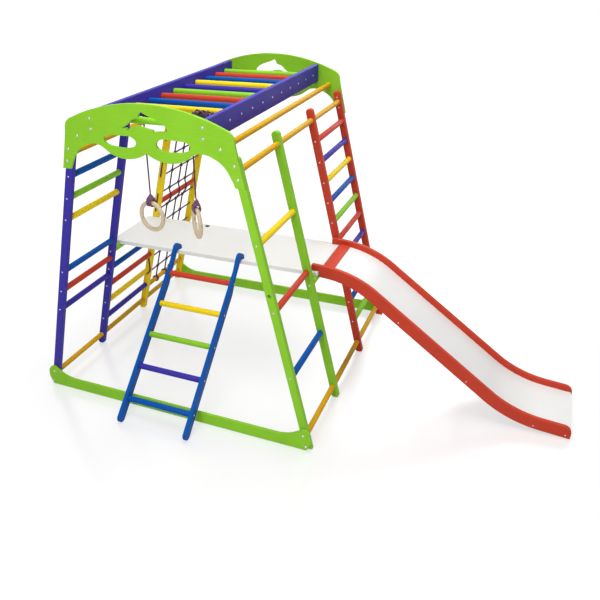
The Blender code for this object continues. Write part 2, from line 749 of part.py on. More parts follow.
def overhead_ladder(bench):
    """Two boards, one solid with the rungs of their colour, and the other rungs."""
    board_end = INNER_Y - GAP
    own_rungs = bmesh.new()
    for index, colour in enumerate(OVERHEAD_COLOURS):
        y = rung_y(index)
        if colour == BOARD_COLOUR:
            end = BOARD_INNER_X + JOINT_OVERLAP
            add_cylinder(own_rungs, (-end, y, OVERHEAD_RUNG_Z), (end, y, OVERHEAD_RUNG_Z), RUNG_DIAMETER)
        else:
            end = BOARD_INNER_X - GAP
            piece = rod((-end, y, OVERHEAD_RUNG_Z), (end, y, OVERHEAD_RUNG_Z), RUNG_DIAMETER)
            bench.add(piece, f"overhead_rung_{index + 1}", colour)
    boards = []
    for hand in HANDS.values():
        sides = sorted((hand * BOARD_INNER_X, hand * (BOARD_INNER_X + BOARD_THICKNESS)))
        boards.append(box(
            (sides[0], -board_end, BOARD_TOP - BOARD_HEIGHT), (sides[1], board_end, BOARD_TOP),
        ))
    frame = bench.add(boards[0], "overhead_boards", BOARD_COLOUR)
    boolean(frame, bench.cutter(object_from(own_rungs), "overhead_own_rungs"), "UNION")
    boolean(frame, bench.cutter(boards[1], "overhead_other_board"), "UNION")


def net_x(height):
    """X of the net at a height, in the plane of the left posts."""
    return -post_x(height)


def net_route():
    """Route of the net's long rope: to and fro through the two posts, row by row."""
    front = THIRD_POST_Y - POST_DEPTH / 2 - GAP - ROPE_RADIUS
    back = END_POST_Y + POST_DEPTH / 2 + GAP + ROPE_RADIUS
    bend = ROPE_RADIUS / 2
    heights = [NET_LOWEST + NET_PITCH * row for row in reversed(range(NET_ROWS))]
    points = [Vector((net_x(heights[0]), END_POST_Y, heights[0]))]
    for row, height in enumerate(heights):
        forward = row % 2 == 0
        near, far = (back, front) if forward else (front, back)
        inward = -1 if forward else 1
        if row:
            points.append(Vector((net_x(height), near + inward * bend, height)))
        if row == NET_ROWS - 1:
            points.append(Vector((net_x(height), END_POST_Y, height)))
            continue
        points.append(Vector((net_x(height), far - inward * bend, height)))
        upper = height - bend
        lower = heights[row + 1] + bend
        points.append(Vector((net_x(upper), far, upper)))
        if far == front:
            points += [Vector((net_x(z) + aside, far, z)) for z, aside in round_rungs(upper, lower)]
        points.append(Vector((net_x(lower), far, lower)))
    return points


def round_rungs(upper, lower):
    """Steps (height, shift) that take the net's rope round a rung of the middle bay."""
    heights = [height for height, _ in SIDE_RUNGS["left"]["middle"]]
    heights += [height for bay, height, _ in JOINED_RUNGS["left"] if bay == "middle"]
    aside = (RUNG_DIAMETER / 2 + ROPE_RADIUS + GAP) * 1.05
    rise = RUNG_DIAMETER / 3
    steps = []
    for height in sorted(heights, reverse=True):
        if lower < height < upper:
            steps += [(height + rise, aside), (height - rise, aside)]
    return steps


def net_column(y):
    """Route of one upright rope of the net, from the low rod to the hand rod."""
    reach = ROD_DIAMETER / 2 + GAP + ROPE_RADIUS
    red = SIDE_RUNGS["left"]["back"][0][0]
    bulge = RUNG_DIAMETER / 2 + GAP + ROPE_RADIUS
    points = [Vector((net_x(NET_ROD_HEIGHT + reach), y, NET_ROD_HEIGHT + reach))]
    for rise, aside in ((-2.4, 0), (-0.7, 1.06), (0.7, 1.06), (2.4, 0)):
        height = red + rise * bulge
        points.append(Vector((net_x(height) + aside * bulge, y, height)))
    points.append(Vector((net_x(HAND_ROD_Z - reach), y, HAND_ROD_Z - reach)))
    return points


def rope_net(bench):
    """The rope net of the left side."""
    net = tube(net_route(), ROPE_DIAMETER, 1)
    bench.add(net, "rope_net", "rope")
    uprights = bmesh.new()
    for y in NET_COLUMNS_Y:
        column = tube(net_column(y), ROPE_DIAMETER, 1)
        uprights.from_mesh(column.data)
        bpy.data.objects.remove(column)
    boolean(net, bench.cutter(object_from(uprights), "net_uprights"), "UNION")
    eyes = bmesh.new()
    major = ROD_DIAMETER / 2 + GAP + ROPE_RADIUS
    for height in (NET_ROD_HEIGHT, HAND_ROD_Z):
        for y in NET_COLUMNS_Y:
            bpy.ops.mesh.primitive_torus_add(
                major_radius=major / math.cos(math.pi / NET_KNOT_SIDES), minor_radius=ROPE_RADIUS,
                major_segments=NET_KNOT_SIDES, minor_segments=5,
            )
            eye = bpy.context.object
            turn = Matrix.Rotation(math.radians(90), 4, "X")
            eye.data.transform(Matrix.Translation((net_x(height), y, height)) @ turn)
            eyes.from_mesh(eye.data)
            bpy.data.objects.remove(eye)
    boolean(net, bench.cutter(object_from(eyes), "net_eyes"), "UNION")


def winding_points(x, direction):
    """Turns of rope round the overhead rung, ending straight down in front of it."""
    radius = (RUNG_DIAMETER / 2 + ROPE_RADIUS + GAP) / math.cos(math.pi / WINDING_POINTS)
    pitch = ROPE_DIAMETER + ROPE_SELF_GAP
    centre = Vector((x, rung_y(RING_RUNG), OVERHEAD_RUNG_Z))
    points = []
    count = WINDING_TURNS * WINDING_POINTS
    for index in range(count + 1):
        angle = 2 * math.pi * index / WINDING_POINTS
        along = direction * pitch * (count - index) / WINDING_POINTS
        points.append(centre + Vector((along, -radius * math.cos(angle), -radius * math.sin(angle))))
    first = points[0] + Vector((0, 0, ROPE_DIAMETER))
    last = points[-1] - Vector((0, 0, ROPE_DIAMETER))
    return [first] + points + [last]


def wrap_points(centre, turn):
    """Loops of rope round the ring's top, closing upwards to the hanging rope."""
    ring_radius = (RING_DIAMETER - RING_TUBE_DIAMETER) / 2
    reach = RING_TUBE_DIAMETER / 2 + ROPE_RADIUS + WRAP_CLEARANCE
    across = Vector((math.cos(turn), math.sin(turn), 0.0))
    out = Vector((-math.sin(turn), math.cos(turn), 0.0))
    up = Vector((0.0, 0.0, 1.0))
    tube_top = centre + up * ring_radius
    points = []
    count = WRAP_LOOPS * WRAP_POINTS
    for index in range(count - WRAP_POINTS // 3 + 1):
        angle = 2 * math.pi * index / WRAP_POINTS
        share = (1 - math.cos(angle)) / 2
        loop = index / WRAP_POINTS - WRAP_LOOPS / 2
        outer = max(0.0, abs(loop) - 0.5)
        at_top = math.copysign(min(abs(loop), 0.5) * WRAP_TOP_PITCH + outer * WRAP_TIER_STEP, loop)
        sideways = loop * WRAP_SPREAD * (1 - share) + at_top * share
        rise = -reach + (2 * reach + WRAP_RISE - outer * WRAP_TIER_DROP) * share
        rise -= sideways ** 2 / (2 * ring_radius) * (1 - share)
        swing = (reach + 0.0035 - 0.005 * share) * math.sin(angle)
        points.append(tube_top + across * sideways + out * swing + up * rise)
    top = reach + WRAP_RISE
    side = (points[-1] - tube_top).dot(across)
    depth = (points[-1] - tube_top).dot(out)
    for share, level in ((1.0, -0.003), (0.85, 0.004), (0.4, 0.011), (0.08, 0.016)):
        points.append(tube_top + across * side * share + out * depth * share + up * (top + level))
    points.append(tube_top + up * (top + 0.021))
    points.append(tube_top + up * (top + 0.021 + ROPE_DIAMETER))
    return points


def hanging_ring(bench, side, x, turn, direction):
    """One ring, its wrap, its hanging rope and the spare rope on the rung."""
    swing = bench.pivot(f"{side}_ring_swing_axis", (x, rung_y(RING_RUNG), OVERHEAD_RUNG_Z))
    winding = winding_points(x, direction)
    print(side, "winding's least gap to itself, mm:", round(1000 * least_gap(winding, ROPE_DIAMETER), 2))
    bench.add(tube(winding, ROPE_DIAMETER, 1), f"{side}_ring_rope_winding", "rope", swing)
    hang = winding[-1]
    centre = Vector((hang[0], hang[1], RING_HEIGHT))
    spin = bench.pivot(f"{side}_ring_turn_axis", centre)
    bpy.ops.mesh.primitive_torus_add(
        major_radius=(RING_DIAMETER - RING_TUBE_DIAMETER) / 2, minor_radius=RING_TUBE_DIAMETER / 2,
        major_segments=24, minor_segments=8,
    )
    ring = bpy.context.object
    for group in list(ring.users_collection):
        group.objects.unlink(ring)
    ring.matrix_basis = (
        Matrix.Translation(centre) @ Matrix.Rotation(turn, 4, "Z") @ Matrix.Rotation(math.radians(90), 4, "X")
    )
    bench.add(ring, f"{side}_ring", "wood", spin)
    wrap = wrap_points(centre, turn)
    print(side, "wrap's least gap to itself, mm:", round(1000 * least_gap(wrap, ROPE_DIAMETER), 2))
    bench.add(tube(wrap, ROPE_DIAMETER, 1), f"{side}_ring_rope_wrap", "rope", spin)
    top = hang - Vector((0, 0, GAP))
    bottom = wrap[-1] + Vector((0, 0, GAP))
    steps = round((top - bottom).length / (4 * ROPE_DIAMETER))
    drop = [top.lerp(bottom, step / steps) for step in range(steps + 1)]
    bench.add(tube(drop, ROPE_DIAMETER, 2), f"{side}_ring_rope", "rope", swing)


def platform(bench, pivot):
    """The loose platform, with slots for the ladder's hooks along both edges."""
    loops = [rectangle((PLATFORM_LEFT, PLATFORM_FRONT), (PLATFORM_RIGHT, PLATFORM_BACK), PLATFORM_CORNER_RADIUS)]
    half = STILE_THICKNESS / 2 + SLOT_CLEARANCE
    for x in STILE_CENTRES:
        front = PLATFORM_FRONT + SLOT_INSET
        back = PLATFORM_BACK - SLOT_INSET
        loops.append(rectangle((x - half, front), (x + half, front + SLOT_WIDTH), 0.002, 1))
        loops.append(rectangle((x - half, back - SLOT_WIDTH), (x + half, back), 0.002, 1))
    board = plate(loops, PLATFORM_THICKNESS)
    board.location = (0, 0, PLATFORM_BOTTOM + PLATFORM_THICKNESS / 2)
    bench.add(board, "platform", "white", pivot)


def stile_outline():
    """A ladder stile in Y and Z: a round foot, a drawn-in neck and a hook."""
    lean = math.degrees(LADDER_LEAN)
    slope = math.tan(LADDER_LEAN)
    foot = (stile_middle_y(STILE_FOOT_Z), STILE_FOOT_Z)
    points = corners(arc(foot, STILE_DEPTH / 2, lean + 90, lean + 270, 8))
    rear_y = stile_middle_y(PLATFORM_TOP - STILE_TAPER_DROP) + STILE_HALF_SPAN
    points.append((rear_y, PLATFORM_TOP - STILE_TAPER_DROP, "corner"))
    points += [(PLATFORM_FRONT + y, PLATFORM_TOP + z, "smooth") for y, z in NECK_POINTS]
    seat = PLATFORM_TOP + GAP
    front = PLATFORM_FRONT + SLOT_INSET + SLOT_CLEARANCE
    back = PLATFORM_FRONT + SLOT_INSET + SLOT_WIDTH - SLOT_CLEARANCE
    tip = PLATFORM_TOP - HOOK_TIP_DEPTH
    points.append((PLATFORM_FRONT - GAP - 0.004, seat, "corner"))
    points += corners([(front, seat), (front, tip)])
    points += corners(arc((back - HOOK_TIP_RADIUS, tip + HOOK_TIP_RADIUS), HOOK_TIP_RADIUS, -90, 0, 3))
    points.append((back, PLATFORM_TOP + HOOK_BEAK_HEIGHT, "smooth"))
    points += [(PLATFORM_FRONT + y, PLATFORM_TOP + z, "smooth") for y, z in CROWN_POINTS]
    points.append((STILE_FRONT_Y - CROWN_FOOT_DROP / slope, PLATFORM_TOP - CROWN_FOOT_DROP, "corner"))
    return points


def ladder(bench, pivot):
    """The leaning ladder: two hooked stiles and their rungs, one solid."""
    outline = stile_outline()
    rungs = bmesh.new()
    reach = STILE_THICKNESS / 2 - JOINT_OVERLAP
    for number in range(LADDER_RUNG_COUNT):
        z = LADDER_TOP_RUNG - LADDER_RUNG_DROP * number
        y = stile_middle_y(z)
        add_cylinder(rungs, (STILE_CENTRES[0] + reach, y, z), (STILE_CENTRES[1] - reach, y, z), RUNG_DIAMETER)
    left, right = (stand_along(plate([outline], STILE_THICKNESS), x) for x in STILE_CENTRES)
    bench.add(left, "ladder", "blue", pivot)
    boolean(left, bench.cutter(object_from(rungs), "ladder_rungs"), "UNION")
    boolean(left, bench.cutter(right, "ladder_other_stile"), "UNION")


def rail_outline():
    """A slide rail in X and Z: its upper end steps over the platform's edge."""
    top = slide_edge(0.0)
    bottom = slide_edge(RAIL_DEPTH)
    seat = PLATFORM_TOP + GAP
    step_x = rail_step_x()
    points = [(RAIL_START_X, seat), (RAIL_START_X, top[0][1] - 0.006), (RAIL_START_X + 0.006, top[0][1])]
    points += [tuple(point) for point in top[1:-1]]
    end = top[-1]
    foot = bottom[-1]
    turn = -math.degrees(RAIL_TAIL_SLOPE)
    along = Vector((math.cos(RAIL_TAIL_SLOPE), -math.sin(RAIL_TAIL_SLOPE)))
    square = Vector((-along[1], along[0]))
    middle = end - along * RAIL_END_RADIUS - square * RAIL_END_RADIUS
    points += arc(middle, RAIL_END_RADIUS, 90 + turn, turn, 5)
    points.append(tuple(foot))
    below = [point for point in reversed(bottom[:-1]) if point[0] > step_x + STEP_SLANT + 0.004]
    points += [tuple(point) for point in below]
    after, before = below[-1], [point for point in bottom if point[0] <= step_x + STEP_SLANT + 0.004][-1]
    step_foot = step_x + STEP_SLANT
    share = (step_foot - before[0]) / (after[0] - before[0])
    points.append((step_foot, before[1] + (after[1] - before[1]) * share))
    points.append((step_x, seat))
    return corners(points)


def slide(bench, pivot):
    """The slide: the rails with their cross-piece, and the bed with its battens."""
    outline = rail_outline()
    middle = (SLIDE_FRONT + SLIDE_BACK) / 2
    inside = SLIDE_BACK - SLIDE_FRONT - 2 * RAIL_THICKNESS
    front, back = (
        stand_across(plate([outline], RAIL_THICKNESS), y)
        for y in (SLIDE_FRONT + RAIL_THICKNESS / 2, SLIDE_BACK - RAIL_THICKNESS / 2)
    )
    cross_start = rail_step_x() - RAIL_START_X + CROSS_PIECE_INSET
    cross_end = cross_start + CROSS_PIECE_WIDTH
    top = slide_edge(CROSS_PIECE_BELOW_RAIL, cross_start, cross_end)
    under = slide_edge(CROSS_PIECE_BELOW_RAIL + CROSS_PIECE_THICKNESS, cross_start, cross_end)
    cross = stand_across(plate([corners(top + under[::-1])], inside + 2 * JOINT_OVERLAP), middle)
    bench.add(front, "slide_rails", "red", pivot)
    boolean(front, bench.cutter(cross, "slide_cross_piece"), "UNION")
    boolean(front, bench.cutter(back, "slide_back_rail"), "UNION")
    bed_start = cross_end + 2 * GAP
    bed_top = slide_edge(BED_BELOW_RAIL, bed_start)
    bed_under = slide_edge(BED_BELOW_RAIL + BED_THICKNESS, bed_start)
    outline = corners(bed_top[:-1] + shortened(bed_top) + shortened(bed_under) + bed_under[:-1][::-1])
    width = inside - 2 * GAP
    bed = bench.add(stand_across(plate([outline], width), middle), "slide_bed", "white", pivot)
    battens = bmesh.new()
    for distance in BATTEN_DISTANCES:
        depth = BED_BELOW_RAIL + BED_THICKNESS / 2 + BATTEN_THICKNESS / 2
        place, slope = slide_point(distance, depth)
        size = Matrix.Diagonal((BATTEN_WIDTH, width - 2 * GAP, BATTEN_THICKNESS + BED_THICKNESS / 2, 1))
        turn = Matrix.Rotation(slope, 4, "Y")
        bmesh.ops.create_cube(
            battens, size=1.0, matrix=Matrix.Translation((place[0], middle, place[1])) @ turn @ size,
        )
    boolean(bed, bench.cutter(object_from(battens), "slide_battens"), "UNION")


def shortened(edge):
    """The last point of an edge, drawn back from the rail's end."""
    end, before = edge[-1], edge[-2]
    return [end + (before - end).normalized() * 0.004]


def build():
    """Build every piece."""
    for old in list(bpy.data.objects):
        bpy.data.objects.remove(old)
    bench = Bench()
    arch_panels(bench)
    base_beams(bench)
    posts(bench)
    overhead_ladder(bench)
    side_rungs(bench)
    orange_rods(bench)
    rope_net(bench)
    hanging_ring(bench, "left", LEFT_RING_X, LEFT_RING_TURN, 1)
    hanging_ring(bench, "right", RIGHT_RING_X, RIGHT_RING_TURN, 1)
    lift = bench.pivot("platform_lift_axis", (0.0, 0.0, PLATFORM_BOTTOM))
    platform(bench, lift)
    ladder(bench, bench.pivot("ladder_lift_axis", (0.0, PLATFORM_FRONT, PLATFORM_TOP)))
    slide(bench, bench.pivot("slide_lift_axis", (RAIL_START_X, 0.0, PLATFORM_TOP)))
    bpy.context.view_layer.update()


if __name__ == "__main__":
    build()
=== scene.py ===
"""Looks of an indoor climbing frame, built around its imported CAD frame."""

from __future__ import annotations

import logging
import math
from dataclasses import dataclass
from enum import Enum
from typing import Callable, Iterable, Sequence

import bmesh
import bpy
from mathutils import Matrix, Vector

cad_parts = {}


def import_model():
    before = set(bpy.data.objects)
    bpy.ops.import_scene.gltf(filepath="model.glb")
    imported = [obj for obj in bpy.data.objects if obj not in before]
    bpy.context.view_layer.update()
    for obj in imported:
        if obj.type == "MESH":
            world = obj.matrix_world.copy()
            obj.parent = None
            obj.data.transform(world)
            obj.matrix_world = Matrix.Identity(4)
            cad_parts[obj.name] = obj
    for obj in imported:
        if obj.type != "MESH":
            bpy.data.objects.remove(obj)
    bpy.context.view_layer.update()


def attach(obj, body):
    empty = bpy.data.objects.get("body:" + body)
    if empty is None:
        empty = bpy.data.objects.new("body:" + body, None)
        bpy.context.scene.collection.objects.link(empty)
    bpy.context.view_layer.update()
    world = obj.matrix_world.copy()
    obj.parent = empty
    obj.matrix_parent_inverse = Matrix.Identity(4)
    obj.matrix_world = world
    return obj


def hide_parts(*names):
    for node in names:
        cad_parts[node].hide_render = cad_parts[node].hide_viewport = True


LOG = logging.getLogger("climbing_frame")

# Middle of the whole object on the floor, in the drawing's own place
DRAWING_ORIGIN = Vector((0.459966, -0.066362, 0.0))
# Range that a noise pattern fills for the most part
NOISE_SPAN = (0.3, 0.7)

Place = tuple[float, float, float]
Tint = tuple[float, float, float]
Profile = tuple[tuple[float, float], ...]
Knot = tuple[float, float, str]
Outline = list[Knot]


class Side(Enum):
    """A side of the frame, with its sign along X."""

    LEFT = -1
    RIGHT = 1

    @property
    def word(self) -> str:
        """The side's name as the CAD nodes have it."""
        return self.name.lower()


class Grain(Enum):
    """Way that the grain of the wood runs, as stretches of the pattern in X, Y and Z."""

    ALONG_X = (0.07, 1.0, 1.0)
    ALONG_Y = (1.0, 0.07, 1.0)
    ALONG_Z = (1.0, 1.0, 0.07)


class Stand(Enum):
    """Turn that stands a flat drawing up: its X and Y go to these axes."""

    FLAT = ((1, 0, 0), (0, 1, 0), (0, 0, 1))
    ACROSS = ((1, 0, 0), (0, 0, -1), (0, 1, 0))
    ALONG = ((0, 0, 1), (1, 0, 0), (0, 1, 0))


class Colour(Enum):
    """Paint colours of the frame, linear."""

    GREEN = (0.270, 0.605, 0.030)
    PURPLE = (0.050, 0.036, 0.370)
    YELLOW = (1.000, 0.695, 0.012)
    ORANGE = (0.680, 0.375, 0.008)
    RED = (0.610, 0.060, 0.030)
    BLUE = (0.003, 0.088, 0.400)

    @property
    def slot(self) -> str:
        """The record's material slot of this paint."""
        return f"{self.name.lower()}_paint"


def shader_tree(name: str) -> tuple[bpy.types.Material, bpy.types.NodeTree, bpy.types.Node]:
    """Start a node material.

    Args:
        name: Name of the material.

    Returns:
        The material, its node tree and its Principled shader.
    """
    material = bpy.data.materials.new(name)
    material.use_nodes = True
    tree = material.node_tree
    return material, tree, tree.nodes["Principled BSDF"]


def noise(
    tree: bpy.types.NodeTree, scale: float, detail: float, stretch: Sequence[float] = (1.0, 1.0, 1.0),
) -> bpy.types.Node:
    """Add a noise pattern in the object's own place.

    Args:
        tree: Node tree that takes the pattern.
        scale: Scale of the noise.
        detail: Detail of the noise.
        stretch: Scale of the place along each axis.

    Returns:
        The noise node.
    """
    place = tree.nodes.new("ShaderNodeTexCoord")
    mapping = tree.nodes.new("ShaderNodeMapping")
    mapping.inputs["Scale"].default_value = stretch
    pattern = tree.nodes.new("ShaderNodeTexNoise")
    pattern.inputs["Scale"].default_value = scale
    pattern.inputs["Detail"].default_value = detail
    tree.links.new(place.outputs["Object"], mapping.inputs["Vector"])
    tree.links.new(mapping.outputs["Vector"], pattern.inputs["Vector"])
    return pattern


def blend_colours(
    tree: bpy.types.NodeTree, factor: bpy.types.NodeSocket, dark: Sequence[float], light: Sequence[float],
    span: tuple[float, float] = NOISE_SPAN,
) -> bpy.types.NodeSocket:
    """Add a ramp between two colours.

    Args:
        tree: Node tree that takes the ramp.
        factor: Socket that drives the ramp.
        dark: Colour at the low end.
        light: Colour at the high end.
        span: Positions of the two ends.

    Returns:
        The ramp's colour socket.
    """
    ramp = tree.nodes.new("ShaderNodeValToRGB")
    ends = ramp.color_ramp.elements
    for end, position, colour in zip(ends, span, (dark, light)):
        end.position = position
        end.color = (*colour, 1.0)
    tree.links.new(factor, ramp.inputs["Fac"])
    return ramp.outputs["Color"]


def spread(
    tree: bpy.types.NodeTree, factor: bpy.types.NodeSocket, low: float, high: float,
) -> bpy.types.NodeSocket:
    """Map a noise pattern onto a range.

    Args:
        tree: Node tree that takes the node.
        factor: Socket of the pattern.
        low: Value at the low end of the noise.
        high: Value at its high end.

    Returns:
        The result's socket.
    """
    node = tree.nodes.new("ShaderNodeMapRange")
    for name, value in zip(("From Min", "From Max", "To Min", "To Max"), (*NOISE_SPAN, low, high)):
        node.inputs[name].default_value = value
    tree.links.new(factor, node.inputs["Value"])
    return node.outputs["Result"]


def bump(
    tree: bpy.types.NodeTree, shader: bpy.types.Node, height: bpy.types.NodeSocket, distance: float,
    strength: float,
) -> None:
    """Drive the shader's normal by a height.

    Args:
        tree: Node tree of the material.
        shader: Principled shader.
        height: Socket of the height.
        distance: Depth of the relief in metres.
        strength: Share of the relief that shows.
    """
    node = tree.nodes.new("ShaderNodeBump")
    node.inputs["Distance"].default_value = distance
    node.inputs["Strength"].default_value = strength
    tree.links.new(height, node.inputs["Height"])
    tree.links.new(node.outputs["Normal"], shader.inputs["Normal"])


def shade(colour: Tint, factor: float) -> Tint:
    """Scale a colour."""
    return tuple(min(1.0, channel * factor) for channel in colour)


@dataclass(frozen=True)
class PaintedWood:
    """Satin paint on sanded beech: the grain shows faintly in colour, gloss and relief."""

    colour: Colour
    grain: Grain
    roughness: tuple[float, float] = (0.37, 0.48)
    specular: float = 0.09
    variation: float = 0.07
    fibre_scale: float = 260.0
    fibre_share: float = 0.45
    cloud_scale: float = 9.0
    relief: float = 0.00035
    relief_strength: float = 0.35

    @property
    def slot(self) -> str:
        """The record's material slot."""
        return self.colour.slot

    def material(self) -> bpy.types.Material:
        """Make the material.

        Returns:
            The material.
        """
        material, tree, shader = shader_tree(f"{self.slot}_{self.grain.name.lower()}")
        fibres = noise(tree, self.fibre_scale, detail=5.0, stretch=self.grain.value)
        clouds = noise(tree, self.cloud_scale, detail=3.0)
        mix = tree.nodes.new("ShaderNodeMath")
        mix.operation = "MULTIPLY_ADD"
        mix.inputs[1].default_value = self.fibre_share
        tree.links.new(fibres.outputs["Fac"], mix.inputs[0])
        soft = tree.nodes.new("ShaderNodeMath")
        soft.operation = "MULTIPLY"
        soft.inputs[1].default_value = 1 - self.fibre_share
        tree.links.new(clouds.outputs["Fac"], soft.inputs[0])
        tree.links.new(soft.outputs["Value"], mix.inputs[2])
        dark = shade(self.colour.value, 1 - self.variation)
        light = shade(self.colour.value, 1 + self.variation)
        tree.links.new(blend_colours(tree, mix.outputs["Value"], dark, light), shader.inputs["Base Color"])
        tree.links.new(spread(tree, clouds.outputs["Fac"], *self.roughness), shader.inputs["Roughness"])
        bump(tree, shader, fibres.outputs["Fac"], self.relief, self.relief_strength)
        shader.inputs["Specular IOR Level"].default_value = self.specular
        return material


@dataclass(frozen=True)
class PaleBoard:
    """Off-white faced board: an even skin with a fine orange-peel and faint handling marks."""

    name: str = "pale_board"
    slot: str = "white_paint"
    colour: Tint = (0.880, 0.875, 0.860)
    shades: tuple[float, float] = (0.975, 1.01)
    roughness: tuple[float, float] = (0.38, 0.48)
    mark_scale: float = 6.0
    peel_scale: float = 900.0
    relief: float = 0.00012
    relief_strength: float = 0.3

    def material(self) -> bpy.types.Material:
        """Make the material.

        Returns:
            The material.
        """
        material, tree, shader = shader_tree(self.name)
        marks = noise(tree, self.mark_scale, detail=4.0)
        peel = noise(tree, self.peel_scale, detail=2.0)
        dark, light = (shade(self.colour, factor) for factor in self.shades)
        tree.links.new(blend_colours(tree, marks.outputs["Fac"], dark, light), shader.inputs["Base Color"])
        tree.links.new(spread(tree, marks.outputs["Fac"], *self.roughness), shader.inputs["Roughness"])
        bump(tree, shader, peel.outputs["Fac"], self.relief, self.relief_strength)
        return material


@dataclass(frozen=True)
class BareWood:
    """Clear-varnished pale birch of the rings, with fine growth lines."""

    name: str = "pale_birch"
    slot: str = "pale_wood"
    dark: Tint = (0.500, 0.375, 0.225)
    light: Tint = (0.690, 0.575, 0.400)
    span: tuple[float, float] = (0.0, 0.55)
    tilt: Place = (0.35, 0.12, 0.5)
    stretch: Place = (1.0, 1.0, 0.25)
    line_scale: float = 95.0
    line_waver: float = 5.0
    line_detail: float = 3.0
    pore_scale: float = 700.0
    pore_stretch: Place = (1.0, 1.0, 0.15)
    relief: float = 0.0002
    relief_strength: float = 0.35
    roughness: float = 0.42
    coat: float = 0.2
    coat_roughness: float = 0.2

    def material(self) -> bpy.types.Material:
        """Make the material.

        Returns:
            The material.
        """
        material, tree, shader = shader_tree(self.name)
        place = tree.nodes.new("ShaderNodeTexCoord")
        mapping = tree.nodes.new("ShaderNodeMapping")
        mapping.inputs["Rotation"].default_value = self.tilt
        mapping.inputs["Scale"].default_value = self.stretch
        lines = tree.nodes.new("ShaderNodeTexWave")
        lines.inputs["Scale"].default_value = self.line_scale
        lines.inputs["Distortion"].default_value = self.line_waver
        lines.inputs["Detail"].default_value = self.line_detail
        tree.links.new(place.outputs["Object"], mapping.inputs["Vector"])
        tree.links.new(mapping.outputs["Vector"], lines.inputs["Vector"])
        colour = blend_colours(tree, lines.outputs["Fac"], self.dark, self.light, self.span)
        tree.links.new(colour, shader.inputs["Base Color"])
        pores = noise(tree, self.pore_scale, detail=3.0, stretch=self.pore_stretch)
        bump(tree, shader, pores.outputs["Fac"], self.relief, self.relief_strength)
        shader.inputs["Roughness"].default_value = self.roughness
        shader.inputs["Coat Weight"].default_value = self.coat
        shader.inputs["Coat Roughness"].default_value = self.coat_roughness
        return material


@dataclass(frozen=True)
class TwistedRope:
    """Plum-coloured three-strand rope with fibres that catch the light."""

    name: str = "plum_rope"
    slot: str = "rope"
    dark: Tint = (0.020, 0.004, 0.016)
    light: Tint = (0.105, 0.028, 0.075)
    fibre_scale: float = 850.0
    relief: float = 0.0003
    relief_strength: float = 0.6
    roughness: float = 0.78
    sheen: float = 0.25
    sheen_roughness: float = 0.5

    def material(self) -> bpy.types.Material:
        """Make the material.

        Returns:
            The material.
        """
        material, tree, shader = shader_tree(self.name)
        fibres = noise(tree, self.fibre_scale, detail=4.0)
        colour = blend_colours(tree, fibres.outputs["Fac"], self.dark, self.light)
        tree.links.new(colour, shader.inputs["Base Color"])
        bump(tree, shader, fibres.outputs["Fac"], self.relief, self.relief_strength)
        shader.inputs["Roughness"].default_value = self.roughness
        shader.inputs["Sheen Weight"].default_value = self.sheen
        shader.inputs["Sheen Roughness"].default_value = self.sheen_roughness
        return material


@dataclass(frozen=True)
class ZincSteel:
    """Bright zinc-plated steel of the screws."""

    name: str = "zinc_steel"
    slot: str = ""
    dark: Tint = (0.40, 0.41, 0.43)
    light: Tint = (0.62, 0.63, 0.65)
    roughness: tuple[float, float] = (0.22, 0.38)
    scuff_scale: float = 500.0

    def material(self) -> bpy.types.Material:
        """Make the material.

        Returns:
            The material.
        """
        material, tree, shader = shader_tree(self.name)
        scuffs = noise(tree, self.scuff_scale, detail=3.0)
        colour = blend_colours(tree, scuffs.outputs["Fac"], self.dark, self.light)
        tree.links.new(colour, shader.inputs["Base Color"])
        tree.links.new(spread(tree, scuffs.outputs["Fac"], *self.roughness), shader.inputs["Roughness"])
        shader.inputs["Metallic"].default_value = 1.0
        return material


@dataclass(frozen=True)
class SlotShadeSheet:
    """Near-black sheet in the platform's slots; its colour is painted shade, the shadow inside the slots."""

    name: str = "dark_lining"
    slot: str = ""
    dark: Tint = (0.012, 0.012, 0.013)
    light: Tint = (0.030, 0.030, 0.032)
    grain_scale: float = 400.0
    roughness: float = 0.6
    specular: float = 0.2

    def material(self) -> bpy.types.Material:
        """Make the material.

        Returns:
            The material.
        """
        material, tree, shader = shader_tree(self.name)
        grain = noise(tree, self.grain_scale, detail=3.0)
        colour = blend_colours(tree, grain.outputs["Fac"], self.dark, self.light)
        tree.links.new(colour, shader.inputs["Base Color"])
        shader.inputs["Roughness"].default_value = self.roughness
        shader.inputs["Specular IOR Level"].default_value = self.specular
        return material


Finish = PaintedWood | PaleBoard | BareWood | TwistedRope | ZincSteel | SlotShadeSheet


def arc(
    centre: Sequence[float], radius: float, start: float, end: float, steps: int,
) -> list[tuple[float, float]]:
    """Points of an arc.

    Args:
        centre: Middle of the arc.
        radius: Its radius.
        start: First angle in degrees.
        end: Last angle in degrees.
        steps: Number of steps.

    Returns:
        The points, first and last included.
    """
    points = []
    for step in range(steps + 1):
        angle = math.radians(start + (end - start) * step / steps)
        points.append((centre[0] + radius * math.cos(angle), centre[1] + radius * math.sin(angle)))
    return points


def corners(points: Iterable[Sequence[float]]) -> Outline:
    """Mark every point of an outline as a corner."""
    return [(point[0], point[1], "corner") for point in points]


def mirrored(outline: Outline) -> Outline:
    """The mirror image of an open outline, run backwards."""
    return [(-x, z, kind) for x, z, kind in reversed(outline)]


def rectangle(low: Sequence[float], high: Sequence[float], radius: float, steps: int = 5) -> Outline:
    """A rectangle with rounded corners.

    Args:
        low: Lower left corner.
        high: Upper right corner.
        radius: Radius of the corners.
        steps: Steps in each corner.

    Returns:
        The closed outline.
    """
    points = []
    for x, y, start in (
        (high[0] - radius, high[1] - radius, 0), (low[0] + radius, high[1] - radius, 90),
        (low[0] + radius, low[1] + radius, 180), (high[0] - radius, low[1] + radius, 270),
    ):
        points += arc((x, y), radius, start, start + 90, steps)
    return corners(points)


